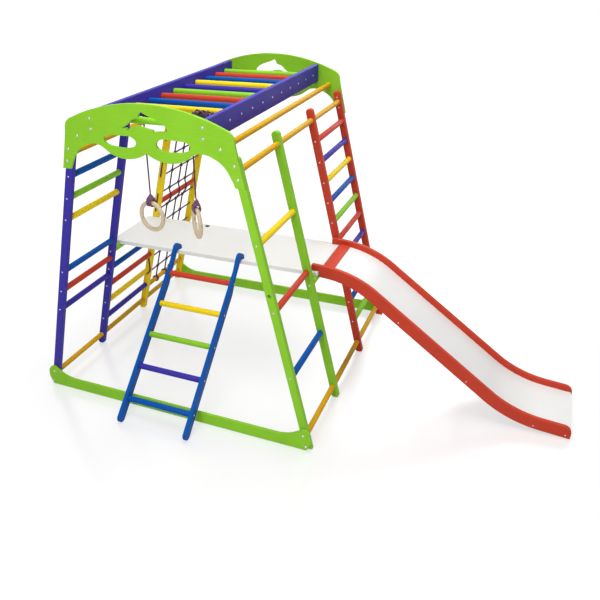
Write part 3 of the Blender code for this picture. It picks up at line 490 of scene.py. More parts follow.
def rounded_path(
    points: Sequence[Vector], radius: float, steps: int = 6, most: float = 0.48,
) -> list[Vector]:
    """Round the bends of a line.

    Args:
        points: Points of the line.
        radius: Most that a bend takes off each side.
        steps: Steps in each bend.
        most: Most that a bend takes off each side, as a share of that side.

    Returns:
        Points of the rounded line.
    """
    path = [points[0].copy()]
    for before, bend, after in zip(points, points[1:], points[2:]):
        back = before - bend
        ahead = after - bend
        near = bend + back.normalized() * min(radius, most * back.length)
        far = bend + ahead.normalized() * min(radius, most * ahead.length)
        for step in range(steps + 1):
            share = step / steps
            path.append(near.lerp(bend, share).lerp(bend.lerp(far, share), share))
    path.append(points[-1].copy())
    return path


def evenly(points: Sequence[Vector], step: float) -> list[Vector]:
    """Place points at even steps along a line.

    Args:
        points: Points of the line.
        step: Distance between the new points, nearly.

    Returns:
        The new points.
    """
    reach = [0.0]
    for first, second in zip(points, points[1:]):
        reach.append(reach[-1] + (second - first).length)
    count = max(2, round(reach[-1] / step))
    path = []
    index = 0
    for number in range(count + 1):
        mark = reach[-1] * number / count
        while index < len(points) - 2 and reach[index + 1] < mark:
            index += 1
        span = reach[index + 1] - reach[index]
        share = (mark - reach[index]) / span if span else 0.0
        path.append(points[index].lerp(points[index + 1], share))
    return path


class Workshop:
    """Modelling steps that every sub-assembly shares."""

    materials: dict[str, bpy.types.Material] = {}
    screw_pattern: bpy.types.Mesh | None = None
    weld_distance: float = 0.000005
    level_tolerance: float = 0.000001
    edge_steps: int = 3
    facing_up: float = 0.99
    rope_strands: int = 3
    strand_radii: tuple[float, ...] = (1.12, 1.0, 0.86, 1.0)
    rope_step: float = 0.002
    screw_sides: int = 18
    screw_height: float = 0.2
    screw_dome: float = 0.14
    socket_inset: float = 0.15
    socket_depth: float = 0.13

    @staticmethod
    def clear() -> None:
        """Leave edit mode and deselect everything."""
        if bpy.context.object and bpy.context.object.mode != "OBJECT":
            bpy.ops.object.mode_set(mode="OBJECT")
        bpy.ops.object.select_all(action="DESELECT")

    @staticmethod
    def pick(piece: bpy.types.Object) -> None:
        """Select one piece alone and make it active.

        Args:
            piece: Piece to select.
        """
        Workshop.clear()
        piece.select_set(True)
        bpy.context.view_layer.objects.active = piece

    @staticmethod
    def apply_place(piece: bpy.types.Object) -> None:
        """Put the piece's place, turn and scale into its mesh."""
        Workshop.pick(piece)
        bpy.ops.object.transform_apply(location=True, rotation=True, scale=True)

    @staticmethod
    def weld(piece: bpy.types.Object) -> None:
        """Merge a mesh's doubles and point its faces outwards.

        Args:
            piece: Piece to weld.
        """
        Workshop.pick(piece)
        bpy.ops.object.mode_set(mode="EDIT")
        bpy.ops.mesh.select_all(action="SELECT")
        bpy.ops.mesh.remove_doubles(threshold=Workshop.weld_distance)
        bpy.ops.mesh.normals_make_consistent(inside=False)
        bpy.ops.object.mode_set(mode="OBJECT")

    @staticmethod
    def join(pieces: Sequence[bpy.types.Object]) -> bpy.types.Object:
        """Join pieces into the first one.

        Args:
            pieces: Pieces to join.

        Returns:
            The joined piece.
        """
        Workshop.clear()
        for piece in pieces:
            piece.select_set(True)
        bpy.context.view_layer.objects.active = pieces[0]
        if len(pieces) > 1:
            bpy.ops.object.join()
        return pieces[0]

    @staticmethod
    def dowel(
        start: Sequence[float], end: Sequence[float], diameter: float, rounding: float = 0.0015,
        sides: int = 36,
    ) -> bpy.types.Object:
        """Turn a round rod with eased ends.

        Args:
            start: Middle of one end.
            end: Middle of the other end.
            diameter: Diameter of the rod.
            rounding: Size of the eased edge.
            sides: Number of sides.

        Returns:
            The rod, with its place in its mesh.
        """
        first, last = Vector(start), Vector(end)
        axis = last - first
        Workshop.clear()
        bpy.ops.mesh.primitive_cylinder_add(
            vertices=sides, radius=diameter / 2, depth=axis.length, location=(first + last) / 2,
            rotation=axis.to_track_quat("Z", "Y").to_euler(),
        )
        piece = bpy.context.object
        level = Workshop.level_tolerance
        Workshop.select_edges(piece, lambda edge: abs(edge.verts[0].co.z - edge.verts[1].co.z) < level)
        bpy.ops.mesh.bevel(offset=rounding, segments=Workshop.edge_steps, profile=0.5)
        Workshop.apply_place(piece)
        return piece

    @staticmethod
    def select_edges(piece: bpy.types.Object, wanted: Callable[[bmesh.types.BMEdge], bool]) -> None:
        """Enter edit mode with the wanted edges selected.

        Args:
            piece: Piece to edit.
            wanted: Test that takes an edge.
        """
        Workshop.pick(piece)
        bpy.ops.object.mode_set(mode="EDIT")
        bpy.ops.mesh.select_mode(type="EDGE")
        bpy.ops.mesh.select_all(action="DESELECT")
        shape = bmesh.from_edit_mesh(piece.data)
        for edge in shape.edges:
            if wanted(edge):
                edge.select_set(True)
        bmesh.update_edit_mesh(piece.data)

    @staticmethod
    def board(
        loops: Sequence[Outline], thickness: float, stand: Stand, place: Sequence[float], edge: float,
        steps: int = 8,
    ) -> bpy.types.Object:
        """Saw a board to a drawing and round its edges.

        Args:
            loops: Closed outlines; those after the first are holes.
            thickness: Thickness of the board.
            stand: How the drawing stands.
            place: Where the drawing's origin goes, at half the thickness.
            edge: Radius of the rounded edges.
            steps: Steps between two smooth points.

        Returns:
            The board, with its place in its mesh.
        """
        Workshop.clear()
        bpy.ops.curve.primitive_bezier_circle_add(radius=0.1)
        piece = bpy.context.object
        drawing = piece.data
        drawing.splines.clear()
        drawing.dimensions = "2D"
        drawing.fill_mode = "BOTH"
        drawing.resolution_u = steps
        drawing.extrude = thickness / 2 - edge
        drawing.bevel_depth = edge
        drawing.bevel_resolution = 2
        drawing.offset = -edge
        for loop in loops:
            spline = drawing.splines.new("BEZIER")
            spline.bezier_points.add(len(loop) - 1)
            spline.use_cyclic_u = True
            spline.resolution_u = steps
            for knot, (x, y, kind) in zip(spline.bezier_points, loop):
                knot.co = (x, y, 0.0)
                handle = "VECTOR" if kind == "corner" else "AUTO"
                knot.handle_left_type = handle
                knot.handle_right_type = handle
        Workshop.pick(piece)
        bpy.ops.object.convert(target="MESH")
        piece = bpy.context.object
        turn = Matrix(stand.value).to_4x4()
        piece.matrix_world = Matrix.Translation(place) @ turn
        Workshop.apply_place(piece)
        Workshop.weld(piece)
        return piece

    @staticmethod
    def rope(
        points: Sequence[Vector], diameter: float, bend: float = 0.004, lay: float = 0.024,
    ) -> bpy.types.Object:
        """Lay a three-strand rope along a line.

        Args:
            points: Points of the line.
            diameter: Diameter of the rope.
            bend: Most that a bend takes off each side.
            lay: Length in which the strands turn once.

        Returns:
            The rope as a closed mesh.
        """
        path = evenly(rounded_path(points, bend), Workshop.rope_step)
        Workshop.clear()
        bpy.ops.curve.primitive_bezier_circle_add(radius=diameter / 2)
        section = bpy.context.object
        section.data.splines.clear()
        lobes = section.data.splines.new("POLY")
        radii = Workshop.strand_radii * Workshop.rope_strands
        lobes.points.add(len(radii) - 1)
        lobes.use_cyclic_u = True
        for index, (knot, share) in enumerate(zip(lobes.points, radii)):
            radius = diameter / 2 * share
            angle = 2 * math.pi * index / len(radii)
            knot.co = (radius * math.cos(angle), radius * math.sin(angle), 0.0, 1.0)
        bpy.ops.curve.primitive_bezier_circle_add(radius=0.1)
        piece = bpy.context.object
        line = piece.data
        line.splines.clear()
        line.dimensions = "3D"
        line.bevel_mode = "OBJECT"
        line.bevel_object = section
        line.use_fill_caps = True
        line.twist_mode = "MINIMUM"
        spline = line.splines.new("POLY")
        spline.points.add(len(path) - 1)
        travelled = 0.0
        for index, (knot, point) in enumerate(zip(spline.points, path)):
            if index:
                travelled += (point - path[index - 1]).length
            knot.co = (*point, 1.0)
            knot.tilt = 2 * math.pi * travelled / lay
        Workshop.pick(piece)
        bpy.ops.object.convert(target="MESH")
        piece = bpy.context.object
        piece.matrix_world = Matrix.Identity(4)
        bpy.data.objects.remove(section)
        Workshop.weld(piece)
        return piece

    @staticmethod
    def screw(place: Sequence[float], out: Sequence[float], diameter: float = 0.0072) -> bpy.types.Object:
        """Set a domed screw head with a round socket on a face.

        Args:
            place: Middle of the head on the face.
            out: Direction away from the face.
            diameter: Diameter of the head.

        Returns:
            The head, with its place in its mesh.
        """
        if Workshop.screw_pattern is None:
            Workshop.screw_pattern = Workshop.turn_screw_pattern()
        mesh = Workshop.screw_pattern.copy()
        turn = Vector(out).to_track_quat("Z", "Y").to_matrix().to_4x4()
        mesh.transform(Matrix.Translation(place) @ turn @ Matrix.Scale(diameter, 4))
        head = bpy.data.objects.new("screw_head", mesh)
        bpy.context.scene.collection.objects.link(head)
        return head

    @staticmethod
    def turn_screw_pattern() -> bpy.types.Mesh:
        """Turn the pattern of a screw head, 1 across.

        Returns:
            The pattern's mesh.
        """
        Workshop.clear()
        height = Workshop.screw_height
        bpy.ops.mesh.primitive_cylinder_add(
            vertices=Workshop.screw_sides, radius=0.5, depth=height, location=(0, 0, height / 2),
        )
        pattern = bpy.context.object
        Workshop.select_edges(pattern, lambda edge: all(vertex.co.z > height / 4 for vertex in edge.verts))
        bpy.ops.mesh.bevel(offset=Workshop.screw_dome, segments=Workshop.edge_steps, profile=0.5)
        bpy.ops.mesh.select_mode(type="FACE")
        bpy.ops.mesh.select_all(action="DESELECT")
        shape = bmesh.from_edit_mesh(pattern.data)
        for face in shape.faces:
            if face.normal.z > Workshop.facing_up and face.calc_center_median().z > height / 4:
                face.select_set(True)
        bmesh.update_edit_mesh(pattern.data)
        bpy.ops.mesh.inset(thickness=Workshop.socket_inset)
        bpy.ops.mesh.extrude_region_move(TRANSFORM_OT_translate={"value": (0, 0, -Workshop.socket_depth)})
        Workshop.apply_place(pattern)
        mesh = pattern.data.copy()
        bpy.data.objects.remove(pattern)
        return mesh

    @staticmethod
    def finish(
        piece: bpy.types.Object, name: str, finish: Finish, body: str, nodes: Sequence[str] = (),
        flat: bool = False, angle: float = 40.0,
    ) -> bpy.types.Object:
        """Name, place, dress and mount a finished piece.

        Args:
            piece: Piece in the drawing's own place.
            name: Its name.
            finish: Its finish.
            body: CAD body that it rides on.
            nodes: CAD nodes that it stands for.
            flat: True where flat faces keep their own normals, as on sawn boards.
            angle: Largest angle in degrees that is shaded smooth.

        Returns:
            The piece, with its place in the row's frame in its mesh.
        """
        piece.name = name
        piece.data.name = name
        piece.location = -DRAWING_ORIGIN
        Workshop.apply_place(piece)
        bpy.ops.object.shade_smooth_by_angle(angle=math.radians(angle))
        if flat:
            modifier = piece.modifiers.new("flat_faces", "WEIGHTED_NORMAL")
            modifier.keep_sharp = True
            bpy.ops.object.modifier_apply(modifier=modifier.name)
        key = repr(finish)
        if key not in Workshop.materials:
            Workshop.materials[key] = finish.material()
        piece.data.materials.clear()
        piece.data.materials.append(Workshop.materials[key])
        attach(piece, body)
        if nodes:
            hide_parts(*nodes)
        if finish.slot:
            finish.slot
        LOG.info("%s: %d faces", name, len(piece.data.polygons))
        return piece


@dataclass(frozen=True)
class FrameSizes:
    """Sizes that several sub-assemblies share, in metres."""

    depth: float = 1.196
    height: float = 1.296
    panel: float = 0.012
    gap: float = 0.0003
    arch_foot_x: float = 0.3544
    arch_foot_drop: float = 0.259
    post_foot_x: float = 0.6089
    post_width: float = 0.032
    post_depth: float = 0.024
    post_top: float = 1.140
    second_post: float = -0.212
    third_post: float = 0.181
    board_inner_x: float = 0.214
    board_thickness: float = 0.020
    board_top: float = 1.257
    board_height: float = 0.081
    rung: float = 0.025
    rod: float = 0.023
    rope: float = 0.006
    rung_socket: float = 0.003
    platform: float = 0.018
    upper_rod_x: float = 0.286
    upper_rod_z: float = 1.165
    hand_rod_z: float = 1.092
    floor_rod_z: float = 0.054
    net_rod_z: float = 0.133
    support_rung_z: float = 0.521
    overhead_pitch: float = 0.1014
    overhead_count: int = 11

    @property
    def half_depth(self) -> float:
        """Distance from the middle to the outer face of a panel."""
        return self.depth / 2

    @property
    def inner_y(self) -> float:
        """Distance from the middle to the inner face of a panel."""
        return self.half_depth - self.panel

    @property
    def lean(self) -> float:
        """Lean of the posts in radians."""
        return math.atan((self.post_foot_x - self.arch_foot_x) / (self.height - self.arch_foot_drop))

    @property
    def posts_y(self) -> tuple[float, float, float, float]:
        """Y of the four posts of a side, front to back."""
        end = self.inner_y - self.gap - self.post_depth / 2
        return (-end, self.second_post, self.third_post, end)

    @property
    def overhead_z(self) -> float:
        """Height of the overhead rungs."""
        return self.board_top - self.board_height / 2

    @property
    def platform_top(self) -> float:
        """Height of the platform's upper face."""
        return self.support_rung_z + self.rung / 2 + self.gap + self.platform

    def post_x(self, height: float) -> float:
        """Distance of a post's axis from the middle at a height."""
        return self.post_foot_x - height * math.tan(self.lean)

    def overhead_y(self, index: int) -> float:
        """Y of an overhead rung, counted from the front."""
        return (index - (self.overhead_count - 1) / 2) * self.overhead_pitch


@dataclass(frozen=True)
class Lamp:
    """A square soft lamp: where it hangs, what it points at, its side and its power in watts."""

    name: str
    place: Place
    target: Place
    size: float
    power: float

    def hang(self) -> None:
        """Make the lamp and point it at its target."""
        data = bpy.data.lights.new(self.name, "AREA")
        data.size = self.size
        data.energy = self.power
        lamp = bpy.data.objects.new(self.name, data)
        direction = Vector(self.target) - Vector(self.place)
        lamp.location = self.place
        lamp.rotation_euler = direction.to_track_quat("-Z", "Y").to_euler()
        bpy.context.scene.collection.objects.link(lamp)


@dataclass
class Studio:
    """Camera, pale floor and soft light."""

    camera_place: Place = (0.790644, -2.485993, 1.77032)
    azimuth: float = 24.726
    elevation: float = 26.842
    roll: float = -1.633
    sensor: float = 36.0
    focal_share: float = 673.4 / 600
    shift: tuple[float, float] = (0.09700, -0.02652)
    world_strength: float = 0.15
    floor_size: float = 30.0
    floor_drop: float = 0.0005
    floor_tone: float = 0.80
    floor_roughness: float = 0.5
    floor_specular: float = 0.2
    floor_light: float = 1.22
    floor_gloss: float = 0.17
    gloss_roughness: float = 0.24
    fade: tuple[float, float] = (1.15, 2.1)
    near_share: float = 0.6
    lamps: tuple[Lamp, ...] = (
        Lamp("overhead", (-0.1, 0.1, 4.1), (0.0, 0.0, 0.5), 2.6, 131.0),
        Lamp("front", (-0.2, -2.3, 1.6), (0.0, 0.0, 0.6), 0.9, 24.0),
        Lamp("right", (3.4, -1.0, 1.6), (0.2, 0.0, 0.6), 1.6, 9.0),
        Lamp("back", (-0.2, 4.0, 2.2), (-0.2, 0.0, 0.9), 2.0, 27.0),
    )

    def build(self) -> None:
        """Set up the whole studio."""
        self.make_camera()
        self.make_floor()
        for lamp in self.lamps:
            lamp.hang()
        self.make_world()
        bpy.context.scene.view_settings.view_transform = "Standard"

    def make_camera(self) -> None:
        """Set the camera at the photograph's place and angle."""
        turn, tip, roll = (math.radians(value) for value in (self.azimuth, self.elevation, self.roll))
        back = Vector((math.sin(turn) * math.cos(tip), -math.cos(turn) * math.cos(tip), math.sin(tip)))
        right = Vector((math.cos(turn), math.sin(turn), 0.0))
        up = back.cross(right)
        across = right * math.cos(roll) + up * math.sin(roll)
        rise = up * math.cos(roll) - right * math.sin(roll)
        data = bpy.data.cameras.new("photograph")
        data.sensor_width = self.sensor
        data.lens = self.focal_share * self.sensor
        data.shift_x, data.shift_y = self.shift
        camera = bpy.data.objects.new("photograph", data)
        place = Matrix((across, rise, back)).transposed().to_4x4()
        camera.matrix_world = Matrix.Translation(self.camera_place) @ place
        bpy.context.scene.collection.objects.link(camera)
        bpy.context.scene.camera = camera

    def pale_to_camera(self, tree: bpy.types.NodeTree) -> bpy.types.NodeSocket:
        """Add a factor that is 1 for what is seen directly, in gloss or through glass.

        Args:
            tree: Node tree that takes the nodes.

        Returns:
            The factor's socket.
        """
        path = tree.nodes.new("ShaderNodeLightPath")
        factor = path.outputs["Is Camera Ray"]
        for ray in ("Is Glossy Ray", "Is Transmission Ray"):
            either = tree.nodes.new("ShaderNodeMath")
            either.operation = "MAXIMUM"
            tree.links.new(factor, either.inputs[0])
            tree.links.new(path.outputs[ray], either.inputs[1])
            factor = either.outputs["Value"]
        return factor

    def pale_share(self, tree: bpy.types.NodeTree) -> bpy.types.NodeSocket:
        """Add the share of the floor's own light, which grows away from the object.

        Args:
            tree: Node tree that takes the nodes.

        Returns:
            The share's socket.
        """
        place = tree.nodes.new("ShaderNodeTexCoord")
        far = tree.nodes.new("ShaderNodeVectorMath")
        far.operation = "LENGTH"
        tree.links.new(place.outputs["Object"], far.inputs[0])
        fade = tree.nodes.new("ShaderNodeMapRange")
        fade.interpolation_type = "SMOOTHSTEP"
        for name, value in zip(("From Min", "From Max", "To Min"), (*self.fade, self.near_share)):
            fade.inputs[name].default_value = value
        tree.links.new(far.outputs["Value"], fade.inputs["Value"])
        share = tree.nodes.new("ShaderNodeMath")
        share.operation = "MULTIPLY"
        tree.links.new(self.pale_to_camera(tree), share.inputs[0])
        tree.links.new(fade.outputs["Result"], share.inputs[1])
        return share.outputs["Value"]

    def floor_material(self) -> bpy.types.Material:
        """Make the floor's material: pale, a little glossy, and white away from the object.

        Returns:
            The material.
        """
        material, tree, shader = shader_tree("pale_floor")
        shader.inputs["Base Color"].default_value = (*[self.floor_tone] * 3, 1.0)
        shader.inputs["Roughness"].default_value = self.floor_roughness
        shader.inputs["Specular IOR Level"].default_value = self.floor_specular
        glow = tree.nodes.new("ShaderNodeEmission")
        glow.inputs["Color"].default_value = (1.0, 1.0, 1.0, 1.0)
        glow.inputs["Strength"].default_value = self.floor_light
        mix = tree.nodes.new("ShaderNodeMixShader")
        tree.links.new(self.pale_share(tree), mix.inputs[0])
        tree.links.new(shader.outputs["BSDF"], mix.inputs[1])
        tree.links.new(glow.outputs["Emission"], mix.inputs[2])
        gloss = tree.nodes.new("ShaderNodeBsdfAnisotropic")
        gloss.inputs["Roughness"].default_value = self.gloss_roughness
        polish = tree.nodes.new("ShaderNodeMixShader")
        polish.inputs[0].default_value = self.floor_gloss
        tree.links.new(mix.outputs["Shader"], polish.inputs[1])
        tree.links.new(gloss.outputs["BSDF"], polish.inputs[2])
        tree.links.new(polish.outputs["Shader"], tree.nodes["Material Output"].inputs["Surface"])
        return material

    def make_floor(self) -> None:
        """Lay a pale floor that keeps a soft shadow."""
        Workshop.clear()
        bpy.ops.mesh.primitive_plane_add(size=self.floor_size, location=(0, 0, -self.floor_drop))
        floor = bpy.context.object
        floor.name = "floor"
        floor.data.materials.append(self.floor_material())

    def make_world(self) -> None:
        """Give the world a soft white light and a white backdrop."""
        world = bpy.data.worlds.new("studio")
        bpy.context.scene.world = world
        world.use_nodes = True
        tree = world.node_tree
        background = tree.nodes["Background"]
        background.inputs["Color"].default_value = (1.0, 1.0, 1.0, 1.0)
        strength = tree.nodes.new("ShaderNodeMapRange")
        strength.inputs["To Min"].default_value = self.world_strength
        tree.links.new(self.pale_to_camera(tree), strength.inputs["Value"])
        tree.links.new(strength.outputs["Result"], background.inputs["Strength"])


@dataclass
class RingSet:
    """The two rings, each on its rope from the second overhead rung."""

    sizes: FrameSizes
    places: tuple[tuple[Side, float, float], ...] = ((Side.LEFT, -0.112, -10.0), (Side.RIGHT, 0.088, 131.0))
    ring: float = 0.1285
    tube: float = 0.017
    ring_z: float = 0.816
    ring_steps: tuple[int, int] = (96, 28)
    smooth_angle: float = 60.0
    rung_index: int = 1
    cord_step: float = 0.012
    turns: int = 7
    turn_points: int = 16
    turn_gap: float = 0.0008
    loops: int = 4
    loop_points: int = 18
    rise: float = 0.0155
    spread: float = 0.0095
    top_pitch: float = 0.0080
    clearance: float = 0.0018
    tier_step: float = 0.0061
    tier_drop: float = 0.0062
    side_swing: float = 0.0035
    swing_taper: float = 0.005
    closing: Profile = ((0.92, -0.004), (0.62, 0.001), (0.34, 0.006), (0.12, 0.011), (0.0, 0.0155))
    neck: float = 0.021
    collar_turns: float = 3.5
    collar_radius: float = 0.0115
    collar_top: float = 0.0045
    collar_height: float = 0.0195
    tangle_start: float = 0.012
    tangle_length: float = 0.070
    tangle_turns: int = 7
    tangle_sway: float = 0.010
    tangle_sway_rate: float = 2.37
    tangle_sway_start: float = 0.8
    tangle_swell: float = 1.2
    tangle_layer: float = 1.65
    tangle_sink: float = 0.9
    tangle_lift: float = 0.002
    tangle_lift_rate: float = 1.7
    # The loops are the same plum rope as the hanging rope, given a paler colour: a lit copy of that rope, so
    # their lighter colour is painted light.
    painted_light_loop_rope: TwistedRope = TwistedRope(
        "plum_rope_pale", dark=(0.075, 0.018, 0.066), light=(0.300, 0.110, 0.240),
    )

    def build(self) -> None:
        """Make both rings with their ropes."""
        for side, x, turn in self.places:
            self.hang(side, x, math.radians(turn))

    def winding(self, x: float) -> list[Vector]:
        """Line of the turns round the rung, ending straight down in front of it.

        Args:
            x: Place of the hanging rope along the rung.

        Returns:
            Points of the line.
        """
        sizes = self.sizes
        radius = (sizes.rung / 2 + sizes.rope / 2 + sizes.gap) / math.cos(math.pi / self.turn_points)
        pitch = sizes.rope + self.turn_gap
        centre = Vector((x, sizes.overhead_y(self.rung_index), sizes.overhead_z))
        count = self.turns * self.turn_points
        points = []
        for index in range(count + 1):
            angle = 2 * math.pi * index / self.turn_points
            along = pitch * (count - index) / self.turn_points
            points.append(centre + Vector((along, -radius * math.cos(angle), -radius * math.sin(angle))))
        first = points[0] + Vector((0, 0, sizes.rope))
        last = points[-1] - Vector((0, 0, sizes.rope))
        return [first] + points + [last]

    def tangle(self, x: float) -> list[Vector]:
        """Line of the rope's loose end, wound untidily over the turns and beside them.

        Args:
            x: Place of the hanging rope along the rung.

        Returns:
            Points of the line.
        """
        sizes = self.sizes
        centre = Vector((x + self.tangle_start, sizes.overhead_y(self.rung_index), sizes.overhead_z))
        count = self.tangle_turns * self.turn_points
        points = []
        for index in range(count + 1):
            share = index / count
            angle = 2 * math.pi * index / self.turn_points
            swell = math.sin(math.pi * min(1.0, self.tangle_swell * share))
            sway = self.tangle_sway * math.sin(self.tangle_sway_rate * angle + self.tangle_sway_start) * swell
            layer = sizes.rope * (self.tangle_layer - self.tangle_sink * share ** 3)
            lift = self.tangle_lift * (1 + math.sin(self.tangle_lift_rate * angle))
            radius = sizes.rung / 2 + layer + lift
            along = self.tangle_length * share + sway
            points.append(centre + Vector((along, radius * math.cos(angle), radius * math.sin(angle))))
        return points

    def wrap(self, centre: Vector, turn: float) -> list[Vector]:
        """Line of the loops round the ring's top, closing upwards to the hanging rope.

        Args:
            centre: Middle of the ring.
            turn: Turn of the ring about the upright.

        Returns:
            Points of the line.
        """
        ring_radius = (self.ring - self.tube) / 2
        reach = self.tube / 2 + self.sizes.rope / 2 + self.clearance
        across = Vector((math.cos(turn), math.sin(turn), 0.0))
        out = Vector((-math.sin(turn), math.cos(turn), 0.0))
        up = Vector((0.0, 0.0, 1.0))
        tube_top = centre + up * ring_radius
        points = []
        for index in range(self.loops * self.loop_points - self.loop_points // 3 + 1):
            angle = 2 * math.pi * index / self.loop_points
            share = (1 - math.cos(angle)) / 2
            loop = index / self.loop_points - self.loops / 2
            outer = max(0.0, abs(loop) - 0.5)
            at_top = math.copysign(min(abs(loop), 0.5) * self.top_pitch + outer * self.tier_step, loop)
            sideways = loop * self.spread * (1 - share) + at_top * share
            lift = -reach + (2 * reach + self.rise - outer * self.tier_drop) * share
            lift -= sideways ** 2 / (2 * ring_radius) * (1 - share)
            swing = (reach + self.side_swing - self.swing_taper * share) * math.sin(angle)
            points.append(tube_top + across * sideways + out * swing + up * lift)
        top = reach + self.rise
        side = (points[-1] - tube_top).dot(across)
        depth = (points[-1] - tube_top).dot(out)
        for share, level in self.closing:
            points.append(tube_top + across * side * share + out * depth * share + up * (top + level))
        points.append(tube_top + up * (top + self.neck))
        points.append(tube_top + up * (top + self.neck + self.sizes.rope))
        return points

    def collar(self, centre: Vector) -> list[Vector]:
        """Line of the turns above the ring that draw the loops together, a cone narrow at its top.

        Args:
            centre: Middle of the ring.

        Returns:
            Points of the line.
        """
        base = centre + Vector((0.0, 0.0, self.ring / 2 + self.sizes.rope / 2))
        count = int(self.collar_turns * self.loop_points)
        points = []
        for index in range(count + 1):
            share = index / count
            angle = 2 * math.pi * index / self.loop_points
            radius = self.collar_radius * (1 - share) + self.collar_top * share
            lift = Vector((radius * math.cos(angle), radius * math.sin(angle), self.collar_height * share))
            points.append(base + lift)
        return points

    def hang(self, side: Side, x: float, turn: float) -> None:
        """Make one ring, its loops, its hanging rope and the turns on the rung.

        Args:
            side: Which ring.
            x: Place of the hanging rope along the rung.
            turn: Turn of the ring about the upright.
        """
        gap = Vector((0, 0, self.sizes.gap))
        winding = self.winding(x)
        top = winding[-1] - gap
        centre = Vector((top.x, top.y, self.ring_z))
        wrap = self.wrap(centre, turn)
        bottom = wrap[-1] + gap
        drop = evenly([top, bottom], self.cord_step)
        diameter = self.sizes.rope
        rope = Workshop.rope(drop, diameter)
        name = f"{side.word}_ring"
        rope_body = f"{side.word}_rope"
        Workshop.finish(rope, f"{name}_hanging_rope", TwistedRope(), rope_body, [f"{name}_rope"])
        tail = Workshop.rope(self.tangle(x), diameter)
        turns = Workshop.join([Workshop.rope(winding, diameter), tail])
        Workshop.finish(turns, f"{name}_rung_turns", TwistedRope(), rope_body, [f"{name}_rope_winding"])
        collar = Workshop.rope(self.collar(centre), diameter)
        loops = Workshop.join([Workshop.rope(wrap, diameter), collar])
        body = f"{side.word}_ring_and_wrap"
        # The loops take the paler copy of the rope, which paints light onto them.
        Workshop.finish(loops, f"{name}_loops", self.painted_light_loop_rope, body, [f"{name}_rope_wrap"])
        Workshop.clear()
        around, across = self.ring_steps
        bpy.ops.mesh.primitive_torus_add(
            major_radius=(self.ring - self.tube) / 2, minor_radius=self.tube / 2, major_segments=around,
            minor_segments=across, location=centre, rotation=(math.radians(90), 0.0, turn),
        )
        ring = bpy.context.object
        Workshop.apply_place(ring)
        Workshop.finish(ring, f"{name}_birch", BareWood(), body, [name], angle=self.smooth_angle)


